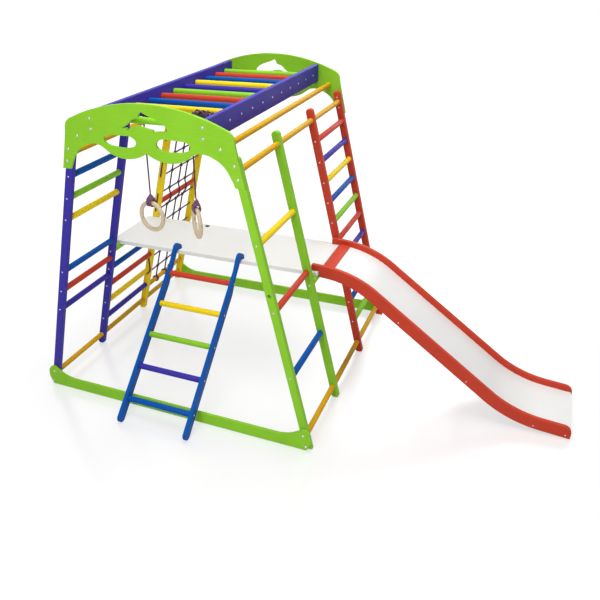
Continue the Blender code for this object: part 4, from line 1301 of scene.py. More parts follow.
@dataclass
class ArchPanels:
    """The two plywood arches: a wavy lower edge, two eye holes and a dolphin."""

    sizes: FrameSizes
    radius: float = 0.750
    top_shares: tuple[float, ...] = (0.35, 0.7, 1.0)
    foot_width: float = 0.0355
    shoulder_share: float = 0.8465
    shoulder: Profile = ((0.907, 0.0735), (0.944, 0.0905), (0.959, 0.119))
    wave: Profile = (
        (0.085, 0.1875), (0.164, 0.1955), (0.240, 0.1980), (0.316, 0.1960), (0.381, 0.1900), (0.443, 0.1800),
        (0.497, 0.1665), (0.547, 0.1570), (0.601, 0.1535), (0.666, 0.1560), (0.734, 0.1650), (0.804, 0.1795),
        (0.858, 0.1985), (0.903, 0.2240),
    )
    eye: Profile = (
        (0.113, 0.1360), (0.161, 0.1180), (0.254, 0.1155), (0.344, 0.1162), (0.440, 0.1195), (0.488, 0.1290),
        (0.479, 0.1430), (0.438, 0.1520), (0.319, 0.1585), (0.209, 0.1580), (0.135, 0.1490),
    )
    dolphin: tuple[Knot, ...] = (
        (-0.010, 0.026, "corner"), (0.003, 0.034, "smooth"), (0.016, 0.039, "smooth"),
        (0.036, 0.0455, "smooth"), (0.060, 0.055, "smooth"), (0.079, 0.068, "smooth"),
        (0.090, 0.086, "corner"), (0.074, 0.0885, "smooth"), (0.052, 0.090, "corner"),
        (0.033, 0.0925, "corner"), (0.034, 0.087, "corner"), (0.010, 0.083, "smooth"),
        (-0.016, 0.077, "smooth"), (-0.040, 0.077, "smooth"), (-0.056, 0.083, "smooth"),
        (-0.068, 0.098, "corner"), (-0.074, 0.088, "smooth"), (-0.092, 0.088, "corner"),
        (-0.076, 0.079, "smooth"), (-0.062, 0.069, "smooth"), (-0.050, 0.057, "smooth"),
        (-0.022, 0.047, "corner"), (-0.020, 0.037, "smooth"),
    )
    notch_drop: float = 0.172
    edge: float = 0.0012
    post_screw_drops: tuple[float, float] = (0.183, 0.2294)
    board_screw_drops: tuple[float, float] = (0.0244, 0.062)
    screw: float = 0.0105

    def points(self, table: Iterable[Sequence[float]]) -> Outline:
        """Smooth outline points from shares of the foot's X and drops."""
        sizes = self.sizes
        return [(sizes.arch_foot_x * share, sizes.height - drop, "smooth") for share, drop in table]

    def outline(self) -> Outline:
        """Outer edge of an arch, from the middle of its top, clockwise.

        Returns:
            The closed outline.
        """
        sizes = self.sizes
        centre = sizes.height - self.radius
        right = []
        for share in self.top_shares:
            x = sizes.arch_foot_x * self.shoulder_share * share
            right.append((x, centre + math.sqrt(self.radius ** 2 - x ** 2), "smooth"))
        right += self.points(self.shoulder)
        foot_z = sizes.height - sizes.arch_foot_drop
        for x in (sizes.arch_foot_x + self.foot_width / 2, sizes.arch_foot_x - self.foot_width / 2):
            right.append((x, foot_z, "corner"))
        right += self.points(reversed(self.wave))
        notch = (0.0, sizes.height - self.notch_drop, "corner")
        return [(0.0, sizes.height, "smooth")] + right + [notch] + mirrored(right)

    def screw_places(self) -> list[tuple[float, float]]:
        """Right-hand places of the screws through an arch.

        Returns:
            X and Z of each screw.
        """
        sizes = self.sizes
        heights = [sizes.height - drop for drop in self.post_screw_drops]
        places = [(sizes.post_x(height), height) for height in heights]
        board_x = sizes.board_inner_x + sizes.board_thickness / 2
        places += [(board_x, sizes.board_top - drop) for drop in self.board_screw_drops]
        return places + [(sizes.upper_rod_x, sizes.upper_rod_z)]

    def build(self) -> None:
        """Make both arches with their screws."""
        sizes = self.sizes
        eye = self.points(self.eye)
        for name, side in (("front_arch", -1), ("back_arch", 1)):
            dolphin = [(-side * x, sizes.height - drop, kind) for x, drop, kind in self.dolphin]
            place = (0.0, side * (sizes.half_depth - sizes.panel / 2), 0.0)
            loops = [self.outline(), eye, mirrored(eye), dolphin]
            panel = Workshop.board(loops, sizes.panel, Stand.ACROSS, place, self.edge)
            node = f"{name}_panel"
            paint = PaintedWood(Colour.GREEN, Grain.ALONG_X)
            Workshop.finish(panel, node + "_plywood", paint, "frame", [node], True)
            heads = []
            for x, z in self.screw_places():
                for hand in (-1, 1):
                    face = (hand * x, side * sizes.half_depth, z)
                    heads.append(Workshop.screw(face, (0, side, 0), self.screw))
            Workshop.finish(Workshop.join(heads), name + "_screws", ZincSteel(), "frame")


@dataclass
class BaseBeams:
    """The two base beams with their round flared ends."""

    sizes: FrameSizes
    overhang: float = 0.0141
    height: float = 0.051
    flare: float = 0.128
    end: Profile = (
        (0.085, 0.0624), (0.055, 0.0796), (0.031, 0.095), (0.008, 0.082), (0.0, 0.051), (0.007, 0.018),
    )
    foot_inset: float = 0.018
    edge: float = 0.002
    screw_heights: tuple[float, float] = (0.0195, 0.068)
    screw: float = 0.0105

    def build(self) -> None:
        """Make both beams with their screws."""
        sizes = self.sizes
        tip = sizes.post_foot_x + self.overhang
        right = [(tip - self.flare, self.height, "corner")]
        right += [(tip - back, height, "smooth") for back, height in self.end]
        right.append((tip - self.foot_inset, 0.0, "corner"))
        for name, side in (("front_base_beam", -1), ("back_base_beam", 1)):
            place = (0.0, side * (sizes.half_depth - sizes.panel / 2), 0.0)
            beam = Workshop.board([right + mirrored(right)], sizes.panel, Stand.ACROSS, place, self.edge)
            paint = PaintedWood(Colour.GREEN, Grain.ALONG_X)
            Workshop.finish(beam, name + "_plywood", paint, "frame", [name], True)
            heads = []
            for z in self.screw_heights:
                for hand in (-1, 1):
                    place = (hand * sizes.post_x(z), side * sizes.half_depth, z)
                    heads.append(Workshop.screw(place, (0, side, 0), self.screw))
            Workshop.finish(Workshop.join(heads), name + "_screws", ZincSteel(), "frame")


@dataclass(frozen=True)
class SideRung:
    """One rung of a side: its node, bay, height and colour."""

    node: str
    bay: int
    height: float
    colour: Colour


@dataclass
class LeaningSide:
    """One side of the frame: four posts, their rungs and the screws into them."""

    sizes: FrameSizes
    side: Side
    post_nodes: tuple[str, str, str, str]
    post_colours: tuple[Colour, Colour, Colour, Colour]
    rungs: tuple[SideRung, ...]
    top_radius: float = 0.013
    foot_radius: float = 0.011
    foot_insets: tuple[float, float] = (0.8, 1.25)
    edge: float = 0.004
    spare_hole: float | None = None
    hole_radius: float = 0.003
    bolt_drops: tuple[float, float] = (0.183, 0.2294)
    bolt: float = 0.007
    covered_drop: float = 0.262
    covered_depth: float = 0.004

    def outline(self, round_foot: bool) -> Outline:
        """A post's outline in X and Z, with its head rounded.

        Args:
            round_foot: True where the foot's corners are rounded too.

        Returns:
            The closed outline.
        """
        sizes = self.sizes
        half = sizes.post_width / 2
        straight = sizes.post_top / math.cos(sizes.lean) - self.top_radius
        reach = half - self.top_radius
        head = arc((reach, straight), self.top_radius, 0, 90, 6)
        head += arc((-reach, straight), self.top_radius, 90, 180, 6)
        turn = Matrix.Rotation(sizes.lean, 2)
        points = [tuple(Vector((sizes.post_foot_x, 0.0)) + turn @ Vector(point)) for point in head]
        level = half / math.cos(sizes.lean)
        ends = [sizes.post_foot_x - level, sizes.post_foot_x + level]
        if round_foot:
            radius = self.foot_radius
            near, far = (radius * share for share in self.foot_insets)
            foot = arc((ends[0] + near, radius), radius, 190, 270, 5)
            foot += arc((ends[1] - far, radius), radius, 270, 360, 5)
        else:
            foot = [(end, 0.0) for end in ends]
        return [(self.side.value * x, z, "corner") for x, z in foot + points]

    def build(self) -> None:
        """Make the posts, the rungs and the screws."""
        self.make_posts()
        for number, rung in enumerate(self.rungs, 1):
            self.make_rung(number, rung)
        heads = self.bolts()
        for rung in self.rungs:
            heads += self.rung_screws(rung)
        Workshop.finish(Workshop.join(heads), f"{self.side.word}_side_screws", ZincSteel(), "frame")

    def make_posts(self) -> None:
        """Make the four posts; the two middle ones have round feet."""
        sizes = self.sizes
        posts = zip(sizes.posts_y, self.post_nodes, self.post_colours)
        for number, (y, node, colour) in enumerate(posts, 1):
            loops = [self.outline(number in (2, 3))]
            if self.spare_hole and number == 1:
                centre = (self.side.value * sizes.post_x(self.spare_hole), self.spare_hole)
                loops.append(corners(arc(centre, self.hole_radius + self.edge, 0, 330, 11)))
            post = Workshop.board(loops, sizes.post_depth, Stand.ACROSS, (0.0, y, 0.0), self.edge)
            name = f"{self.side.word}_post_{number}_beech"
            Workshop.finish(post, name, PaintedWood(colour, Grain.ALONG_Z), "frame", [node], True)

    def make_rung(self, number: int, rung: SideRung) -> None:
        """Make one rung between two posts.

        Args:
            number: Its number on this side.
            rung: The rung.
        """
        sizes = self.sizes
        x = self.side.value * sizes.post_x(rung.height)
        reach = sizes.post_depth / 2 - sizes.rung_socket
        start = (x, sizes.posts_y[rung.bay] + reach, rung.height)
        end = (x, sizes.posts_y[rung.bay + 1] - reach, rung.height)
        piece = Workshop.dowel(start, end, sizes.rung)
        name = f"{self.side.word}_side_rung_{number}"
        Workshop.finish(piece, name, PaintedWood(rung.colour, Grain.ALONG_Y), "frame", [rung.node])

    def bolts(self) -> list[bpy.types.Object]:
        """Make the bolt ends on the inner faces of the corner posts.

        Returns:
            The bolt ends.
        """
        sizes = self.sizes
        bolt_y = sizes.inner_y - sizes.gap - sizes.post_depth
        ends = []
        for height in (sizes.height - drop for drop in self.bolt_drops):
            for out in (-1, 1):
                place = (self.side.value * sizes.post_x(height), -out * bolt_y, height)
                ends.append(Workshop.screw(place, (0, out, 0), self.bolt))
        return ends

    def rung_screws(self, rung: SideRung) -> list[bpy.types.Object]:
        """Make the screws at both ends of a rung, but not where an arch covers them.

        Args:
            rung: The rung.

        Returns:
            The screw heads.
        """
        sizes = self.sizes
        x = self.side.value * sizes.post_x(rung.height)
        inset = sizes.post_depth / 2
        heads = []
        for y, out in ((sizes.posts_y[rung.bay] - inset, -1), (sizes.posts_y[rung.bay + 1] + inset, 1)):
            outermost = abs(y) > sizes.inner_y - self.covered_depth
            if not (outermost and rung.height > sizes.height - self.covered_drop):
                heads.append(Workshop.screw((x, y, rung.height), (0, out, 0)))
        return heads


@dataclass
class OverheadLadder:
    """Two boards and the eleven rungs between them."""

    sizes: FrameSizes
    colours: tuple[Colour, ...] = (
        Colour.GREEN, Colour.PURPLE, Colour.YELLOW, Colour.BLUE, Colour.RED, Colour.GREEN, Colour.PURPLE,
        Colour.YELLOW, Colour.BLUE, Colour.RED, Colour.GREEN,
    )
    corner: float = 0.004
    edge: float = 0.0035

    def build(self) -> None:
        """Make the boards, the rungs and the screws."""
        sizes = self.sizes
        end = sizes.inner_y - sizes.gap
        low = (-end, sizes.board_top - sizes.board_height)
        outline = rectangle(low, (end, sizes.board_top), self.corner)
        heads = []
        for side in Side:
            x = side.value * (sizes.board_inner_x + sizes.board_thickness / 2)
            board = Workshop.board([outline], sizes.board_thickness, Stand.ALONG, (x, 0, 0), self.edge)
            name = f"overhead_{side.word}_board"
            paint = PaintedWood(Colour.PURPLE, Grain.ALONG_Y)
            Workshop.finish(board, name, paint, "frame", ["overhead_boards"], True)
            face = side.value * (sizes.board_inner_x + sizes.board_thickness)
            for index in range(sizes.overhead_count):
                place = (face, sizes.overhead_y(index), sizes.overhead_z)
                heads.append(Workshop.screw(place, (side.value, 0, 0)))
        reach = sizes.board_inner_x + sizes.rung_socket
        for index, colour in enumerate(self.colours):
            y = sizes.overhead_y(index)
            rung = Workshop.dowel((-reach, y, sizes.overhead_z), (reach, y, sizes.overhead_z), sizes.rung)
            node = "overhead_boards" if colour is Colour.PURPLE else f"overhead_rung_{index + 1}"
            name = f"overhead_dowel_{index + 1}"
            Workshop.finish(rung, name, PaintedWood(colour, Grain.ALONG_X), "frame", [node])
        Workshop.finish(Workshop.join(heads), "overhead_screws", ZincSteel(), "frame")


@dataclass
class TieRods:
    """The orange rods that tie the two ends together."""

    sizes: FrameSizes

    def build(self) -> None:
        """Make the seven rods."""
        sizes = self.sizes
        reach = sizes.inner_y - sizes.gap
        posts = sizes.posts_y
        floor_reach = posts[3] - sizes.post_depth / 2 + sizes.rung_socket
        paint = PaintedWood(Colour.ORANGE, Grain.ALONG_Y)
        for side in Side:
            for name, x, z, end in (
                ("upper_rod", sizes.upper_rod_x, sizes.upper_rod_z, reach),
                ("hand_rod", sizes.post_x(sizes.hand_rod_z), sizes.hand_rod_z, reach),
                ("floor_rod", sizes.post_x(sizes.floor_rod_z), sizes.floor_rod_z, floor_reach),
            ):
                node = f"{side.word}_{name}"
                rod = Workshop.dowel((side.value * x, -end, z), (side.value * x, end, z), sizes.rod)
                Workshop.finish(rod, node + "_beech", paint, "frame", [node])
        x, z = -sizes.post_x(sizes.net_rod_z), sizes.net_rod_z
        inset = sizes.post_depth / 2 - sizes.rung_socket
        rod = Workshop.dowel((x, posts[2] + inset, z), (x, posts[3] - inset, z), sizes.rod)
        Workshop.finish(rod, "net_low_rod_beech", paint, "frame", ["net_low_rod"])


@dataclass
class RopeNet:
    """The rope net of the left side, threaded through its two posts."""

    sizes: FrameSizes
    lowest: float = 0.215
    rows: int = 10
    top_drop: float = 0.0517
    columns: tuple[float, ...] = (0.282, 0.376, 0.447)
    red_rung: float = 0.622
    middle_rungs: tuple[float, ...] = (0.521, 0.428, 0.335, 0.241)
    thickness: float = 0.0076
    slack: float = 1.05
    row_bend: float = 0.0015
    column_bend: float = 0.02
    detour: Profile = ((-2.4, 0.0), (-0.7, 1.06), (0.7, 1.06), (2.4, 0.0))
    eye_turns: int = 2
    eye_points: int = 18
    eye_half_width: float = 0.0062
    eye_bend: float = 0.002
    knot: float = 0.0052
    knot_strand: float = 0.0033
    knot_tilt: float = 48.0
    knot_steps: tuple[int, int] = (14, 8)
    smooth_angle: float = 70.0

    def x(self, height: float) -> float:
        """X of the net at a height."""
        return -self.sizes.post_x(height)

    def heights(self) -> list[float]:
        """Heights of the rows, from the top down."""
        pitch = (self.sizes.hand_rod_z - self.top_drop - self.lowest) / (self.rows - 1)
        return [self.lowest + pitch * row for row in reversed(range(self.rows))]

    def round_rungs(self, upper: float, lower: float) -> list[tuple[float, float]]:
        """Steps (height, shift) that take the rope round a rung of the middle bay.

        Args:
            upper: Height that the rope comes from.
            lower: Height that it goes to.

        Returns:
            The steps, from the top down.
        """
        sizes = self.sizes
        aside = (sizes.rung / 2 + sizes.rope / 2 + sizes.gap) * self.slack
        steps = []
        for height in self.middle_rungs:
            if lower < height < upper:
                steps += [(height + sizes.rung / 3, aside), (height - sizes.rung / 3, aside)]
        return steps

    def route(self) -> list[Vector]:
        """Line of the long rope: to and fro through the two posts, row by row.

        Returns:
            Points of the line.
        """
        sizes = self.sizes
        third, last = sizes.posts_y[2], sizes.posts_y[3]
        reach = sizes.post_depth / 2 + sizes.gap + sizes.rope / 2
        front, back = third - reach, last + reach
        bend = sizes.rope / 4
        heights = self.heights()
        points = [Vector((self.x(heights[0]), last, heights[0]))]
        for row, height in enumerate(heights):
            forward = row % 2 == 0
            near, far = (back, front) if forward else (front, back)
            inward = -1 if forward else 1
            if row:
                points.append(Vector((self.x(height), near + inward * bend, height)))
            if row == self.rows - 1:
                points.append(Vector((self.x(height), last, height)))
                continue
            points.append(Vector((self.x(height), far - inward * bend, height)))
            upper, lower = height - bend, heights[row + 1] + bend
            points.append(Vector((self.x(upper), far, upper)))
            if far == front:
                points += [Vector((self.x(z) + aside, far, z)) for z, aside in self.round_rungs(upper, lower)]
            points.append(Vector((self.x(lower), far, lower)))
        return points

    def column(self, y: float) -> list[Vector]:
        """Line of one upright rope, from the low rod to the hand rod and round the red rung.

        Args:
            y: Place of the rope between the posts.

        Returns:
            Points of the line.
        """
        sizes = self.sizes
        reach = sizes.rod / 2 + sizes.gap + sizes.rope / 2
        bulge = sizes.rung / 2 + sizes.gap + sizes.rope / 2
        points = [Vector((self.x(sizes.net_rod_z + reach), y, sizes.net_rod_z + reach))]
        for rise, aside in self.detour:
            height = self.red_rung + rise * bulge
            points.append(Vector((self.x(height) + aside * bulge, y, height)))
        points.append(Vector((self.x(sizes.hand_rod_z - reach), y, sizes.hand_rod_z - reach)))
        return points

    def eye(self, y: float, height: float) -> list[Vector]:
        """Line of the loops of rope round a rod.

        Args:
            y: Place of the loops along the rod.
            height: Height of the rod.

        Returns:
            Points of the line.
        """
        reach = self.sizes.rod / 2 + self.sizes.gap + self.sizes.rope / 2
        points = []
        for step in range(self.eye_turns * self.eye_points + 1):
            angle = math.radians(90 + 360 / self.eye_points * step)
            along = y + self.eye_half_width * (step / self.eye_points - 1)
            round_rod = Vector((reach * math.cos(angle), along, reach * math.sin(angle)))
            points.append(Vector((self.x(height), 0.0, height)) + round_rod)
        return points

    def build(self) -> None:
        """Make the net: the long rope, the uprights, the loops and the knots."""
        sizes = self.sizes
        ropes = [Workshop.rope(self.route(), self.thickness, self.row_bend)]
        for y in self.columns:
            ropes.append(Workshop.rope(self.column(y), self.thickness, self.column_bend))
            for height in (sizes.net_rod_z, sizes.hand_rod_z):
                ropes.append(Workshop.rope(self.eye(y, height), sizes.rope, self.eye_bend))
        net = Workshop.join(ropes)
        rope = TwistedRope()
        Workshop.finish(net, "net_of_rope", rope, "frame", ["rope_net"], angle=self.smooth_angle)
        knots = Workshop.join([knot for height in self.heights() for knot in self.knots(height)])
        Workshop.finish(knots, "net_knots", rope, "frame", ["rope_net"], angle=self.smooth_angle)

    def knots(self, height: float) -> list[bpy.types.Object]:
        """Tie the knots of one row, each of two crossed loops.

        Args:
            height: Height of the row.

        Returns:
            The loops.
        """
        around, across = self.knot_steps
        loops = []
        for y in self.columns:
            for tilt in (self.knot_tilt, -self.knot_tilt):
                Workshop.clear()
                bpy.ops.mesh.primitive_torus_add(
                    major_radius=self.knot, minor_radius=self.knot_strand, major_segments=around,
                    minor_segments=across, location=(self.x(height), y, height),
                    rotation=(math.radians(tilt), 0.0, 0.0),
                )
                Workshop.apply_place(bpy.context.object)
                loops.append(bpy.context.object)
        return loops


@dataclass
class Platform:
    """The loose pale platform, with slots for the ladder's hooks."""

    sizes: FrameSizes
    low: tuple[float, float] = (-0.512, -0.158)
    high: tuple[float, float] = (0.492, 0.166)
    corner: float = 0.006
    edge: float = 0.0012
    stile_centres: tuple[float, float] = (-0.1665, 0.1409)
    slot_length: float = 0.021
    slot_width: float = 0.020
    slot_inset: float = 0.012
    slot_clearance: float = 0.0015
    slot_corner: float = 0.002
    # Sizes of the near-black sheets in the slots, which paint the shade inside them.
    lining: float = 0.001
    lining_recess: float = 0.0002
    lining_edge: float = 0.0001

    def slot(self, x: float, front: float, margin: float = 0.0) -> Outline:
        """Outline of a slot.

        Args:
            x: Middle of the slot.
            front: Y of its front edge.
            margin: How far inside the slot the outline runs.

        Returns:
            The closed outline.
        """
        half = self.slot_length / 2 - margin
        low = (x - half, front + margin)
        high = (x + half, front + self.slot_width - margin)
        return rectangle(low, high, self.slot_corner - margin, 2)

    def build(self) -> None:
        """Make the platform and the near-black sheets in its slots, which are painted shade."""
        thickness = self.sizes.platform
        front = self.low[1] + self.slot_inset
        back = self.high[1] - self.slot_inset - self.slot_width
        slots = [(x, y) for x in self.stile_centres for y in (front, back)]
        loops = [rectangle(self.low, self.high, self.corner)] + [self.slot(*slot) for slot in slots]
        place = (0.0, 0.0, self.sizes.platform_top - thickness / 2)
        board = Workshop.board(loops, thickness, Stand.FLAT, place, self.edge)
        Workshop.finish(board, "platform_faced_board", PaleBoard(), "platform_board", ["platform"], True)
        # Near-black sheets in the slots: painted shade where the slots' walls lie in shadow.
        shade_sheets = []
        for slot in slots:
            ring = [self.slot(*slot), self.slot(*slot, self.lining)]
            depth = thickness - 2 * self.lining_recess
            shade_sheets.append(Workshop.board(ring, depth, Stand.FLAT, place, self.lining_edge))
        Workshop.finish(Workshop.join(shade_sheets), "platform_slot_painted_shade", SlotShadeSheet(), "platform_board")


@dataclass
class HookLadder:
    """The leaning ladder: two hooked stiles and five rungs."""

    sizes: FrameSizes
    platform: Platform
    lean: float = 43.76
    thickness: float = 0.0168
    depth: float = 0.040
    edge: float = 0.003
    neck_depth: float = 0.0303
    taper_drop: float = 0.122
    neck: Profile = ((-0.078, -0.088), (-0.054, -0.054), (-0.026, -0.024), (-0.013, -0.006))
    crown: Profile = ((0.017, 0.0240), (0.003, 0.0310), (-0.014, 0.0280), (-0.031, 0.009))
    crown_foot: float = 0.026
    crown_inset: float = 0.003
    throat: float = 0.004
    tip_depth: float = 0.011
    tip_radius: float = 0.004
    beak: float = 0.013
    top_rung: float = 0.475
    rung_drop: float = 0.0993
    colours: tuple[Colour, ...] = (Colour.RED, Colour.YELLOW, Colour.GREEN, Colour.PURPLE, Colour.BLUE)

    @property
    def half_span(self) -> float:
        """Half of a stile's width along Y."""
        return self.depth / 2 / math.sin(math.radians(self.lean))

    def middle_y(self, height: float) -> float:
        """Y of the stiles' middle line at a height.

        Args:
            height: The height.

        Returns:
            The line's Y.
        """
        front = self.platform.low[1] - self.neck_depth
        drop = self.sizes.platform_top - height
        return front + self.half_span - drop / math.tan(math.radians(self.lean))

    def outline(self) -> Outline:
        """A stile in Y and Z: a round foot, a drawn-in neck and a hook.

        Returns:
            The closed outline.
        """
        top = self.sizes.platform_top
        edge = self.platform.low[1]
        foot_z = self.depth / 2
        foot = (self.middle_y(foot_z), foot_z)
        points = corners(arc(foot, foot_z, self.lean + 90, self.lean + 270, 14))
        taper_z = top - self.taper_drop
        points.append((self.middle_y(taper_z) + self.half_span, taper_z, "corner"))
        points += [(edge + y, top + z, "smooth") for y, z in self.neck]
        seat = top + self.sizes.gap
        slot = edge + self.platform.slot_inset
        front = slot + self.platform.slot_clearance
        back = slot + self.platform.slot_width - self.platform.slot_clearance
        tip = top - self.tip_depth
        points.append((edge - self.sizes.gap - self.throat, seat, "corner"))
        points += corners([(front, seat), (front, tip)])
        points += corners(arc((back - self.tip_radius, tip + self.tip_radius), self.tip_radius, -90, 0, 4))
        points.append((back, top + self.beak, "smooth"))
        points += [(edge + y, top + z, "smooth") for y, z in self.crown]
        crown_run = self.crown_foot / math.tan(math.radians(self.lean))
        crown_y = edge - self.neck_depth + self.crown_inset - crown_run
        points.append((crown_y, top - self.crown_foot, "corner"))
        return points

    def build(self) -> None:
        """Make the stiles, the rungs and the screws."""
        body = "hooked_ladder"
        left, right = self.platform.stile_centres
        blue = PaintedWood(Colour.BLUE, Grain.ALONG_Z)
        for side, x in zip(Side, (left, right)):
            stile = Workshop.board([self.outline()], self.thickness, Stand.ALONG, (x, 0, 0), self.edge)
            Workshop.finish(stile, f"ladder_{side.word}_stile", blue, body, ["ladder"], True)
        heads = []
        half = self.thickness / 2
        reach = half - self.sizes.rung_socket
        for number, colour in enumerate(self.colours):
            z = self.top_rung - self.rung_drop * number
            y = self.middle_y(z)
            rung = Workshop.dowel((left + reach, y, z), (right - reach, y, z), self.sizes.rung)
            paint = PaintedWood(colour, Grain.ALONG_X)
            Workshop.finish(rung, f"ladder_rung_{number + 1}", paint, body, ["ladder"])
            for x, out in ((left - half, -1), (right + half, 1)):
                heads.append(Workshop.screw((x, y, z), (out, 0, 0)))
        Workshop.finish(Workshop.join(heads), "ladder_screws", ZincSteel(), body)


@dataclass
class SlideBoard:
    """The slide: two red rails, a cross-piece, the pale bed and its battens."""

    sizes: FrameSizes
    platform: Platform
    thickness: float = 0.018
    depth: float = 0.052
    edge: float = 0.0025
    above: float = 0.028
    start_x: float = 0.460
    flat_length: float = 0.055
    flat_slope: float = math.radians(3)
    crest_radius: float = 0.420
    slope: float = math.radians(36.2)
    runout_radius: float = 0.400
    tail_slope: float = math.radians(5)
    tail_length: float = 0.110
    bend_pieces: int = 24
    start_radius: float = 0.006
    end_radius: float = 0.032
    front: float = -0.146
    back: float = 0.164
    step_clearance: float = 0.0008
    step_slant: float = 0.005
    step_room: float = 0.004
    cross_inset: float = 0.006
    cross_width: float = 0.048
    cross_thickness: float = 0.018
    cross_below: float = 0.019
    cross_tenon: float = 0.002
    cross_edge: float = 0.001
    bed_below: float = 0.024
    bed_thickness: float = 0.006
    bed_clearance: float = 0.0002
    bed_end_inset: float = 0.004
    bed_edge: float = 0.0006
    batten: tuple[float, float] = (0.030, 0.016)
    batten_clearance: float = 0.0004
    batten_edge: float = 0.0015
    batten_distances: tuple[float, ...] = (0.235, 0.420, 0.605, 0.790, 1.085)
    screw_distances: tuple[float, ...] = (0.445, 0.805, 1.098, 1.215)
    screw: float = 0.006

    @property
    def step_x(self) -> float:
        """X of the step that drops past the platform and the rung under it."""
        rung = self.sizes.post_x(self.sizes.support_rung_z) + self.sizes.rung / 2
        return max(rung, self.platform.high[0]) + self.step_clearance

    def stretches(self) -> list[tuple[float, float, float]]:
        """Stretches of the rail's top edge, from its start.

        Returns:
            Each stretch's length, the slope at its start and the slope at its end.
        """
        drop = self.sizes.platform_top + self.above - self.depth * math.cos(self.tail_slope)
        crest = self.crest_radius * (math.cos(self.flat_slope) - math.cos(self.slope))
        runout = self.runout_radius * (math.cos(self.tail_slope) - math.cos(self.slope))
        flat = self.flat_length * math.sin(self.flat_slope)
        tail = self.tail_length * math.sin(self.tail_slope)
        ramp = (drop - crest - runout - flat - tail) / math.sin(self.slope)
        return [
            (self.flat_length, self.flat_slope, self.flat_slope),
            (self.crest_radius * (self.slope - self.flat_slope), self.flat_slope, self.slope),
            (ramp, self.slope, self.slope),
            (self.runout_radius * (self.slope - self.tail_slope), self.slope, self.tail_slope),
            (self.tail_length, self.tail_slope, self.tail_slope),
        ]

    def point(self, distance: float, offset: float) -> tuple[Vector, float]:
        """A point off the rail's top edge.

        Args:
            distance: Distance along the edge.
            offset: Distance down, square to it.

        Returns:
            The point in X and Z, and the slope there.
        """
        place = Vector((self.start_x, self.sizes.platform_top + self.above))
        left = distance
        angle = self.flat_slope
        for length, slope, next_slope in self.stretches():
            run = min(left, length)
            angle = slope + (next_slope - slope) * run / length
            bend = angle - slope
            middle = (slope + angle) / 2
            chord = run if bend == 0 else run * math.sin(bend / 2) / (bend / 2)
            place += chord * Vector((math.cos(middle), -math.sin(middle)))
            left -= run
            if left <= 0:
                break
        return place + offset * Vector((-math.sin(angle), -math.cos(angle))), angle

    def line(self, offset: float, start: float = 0.0, end: float | None = None) -> list[Vector]:
        """Points along the rail's top edge, moved down square to it.

        Args:
            offset: How far down.
            start: Distance at which the line starts.
            end: Distance at which it ends, or None for the rail's end.

        Returns:
            The points.
        """
        stretches = self.stretches()
        total = sum(length for length, _, _ in stretches)
        end = total if end is None else end
        marks = {start, end}
        travelled = 0.0
        for length, slope, next_slope in stretches:
            pieces = 1 if slope == next_slope else self.bend_pieces
            marks |= {travelled + length * piece / pieces for piece in range(pieces + 1)}
            travelled += length
        points = []
        for mark in sorted(mark for mark in marks if start <= mark <= end):
            place, _ = self.point(mark, offset)
            if not points or (place - points[-1]).length > Workshop.weld_distance * 2:
                points.append(place)
        return points

    def rail_outline(self) -> Outline:
        """A rail in X and Z: its upper end steps over the platform's edge.

        Returns:
            The closed outline.
        """
        top = self.line(0.0)
        bottom = self.line(self.depth)
        seat = self.sizes.platform_top + self.sizes.gap
        radius = self.start_radius
        points = [(self.start_x, seat)]
        points += arc((self.start_x + radius, top[0][1] - radius), radius, 180, 90, 4)
        points += [tuple(point) for point in top[1:-1]]
        turn = -math.degrees(self.tail_slope)
        along = Vector((math.cos(self.tail_slope), -math.sin(self.tail_slope)))
        square = Vector((-along[1], along[0]))
        points += arc(top[-1] - (along + square) * self.end_radius, self.end_radius, 90 + turn, turn, 12)
        points.append(tuple(bottom[-1]))
        step_foot = self.step_x + self.step_slant
        limit = step_foot + self.step_room
        below = [point for point in reversed(bottom[:-1]) if point[0] > limit]
        points += [tuple(point) for point in below]
        after, before = below[-1], [point for point in bottom if point[0] <= limit][-1]
        share = (step_foot - before[0]) / (after[0] - before[0])
        points.append((step_foot, before[1] + (after[1] - before[1]) * share))
        points.append((self.step_x, seat))
        return corners(points)

    def across(self, outline: Outline, clearance: float, edge: float) -> bpy.types.Object:
        """Saw a piece that lies between the rails.

        Args:
            outline: Its outline in X and Z.
            clearance: Room at each rail, or less than zero for a tenon.
            edge: Radius of its edges.

        Returns:
            The piece.
        """
        middle = (self.front + self.back) / 2
        width = self.back - self.front - 2 * self.thickness - 2 * clearance
        return Workshop.board([outline], width, Stand.ACROSS, (0, middle, 0), edge, 1)

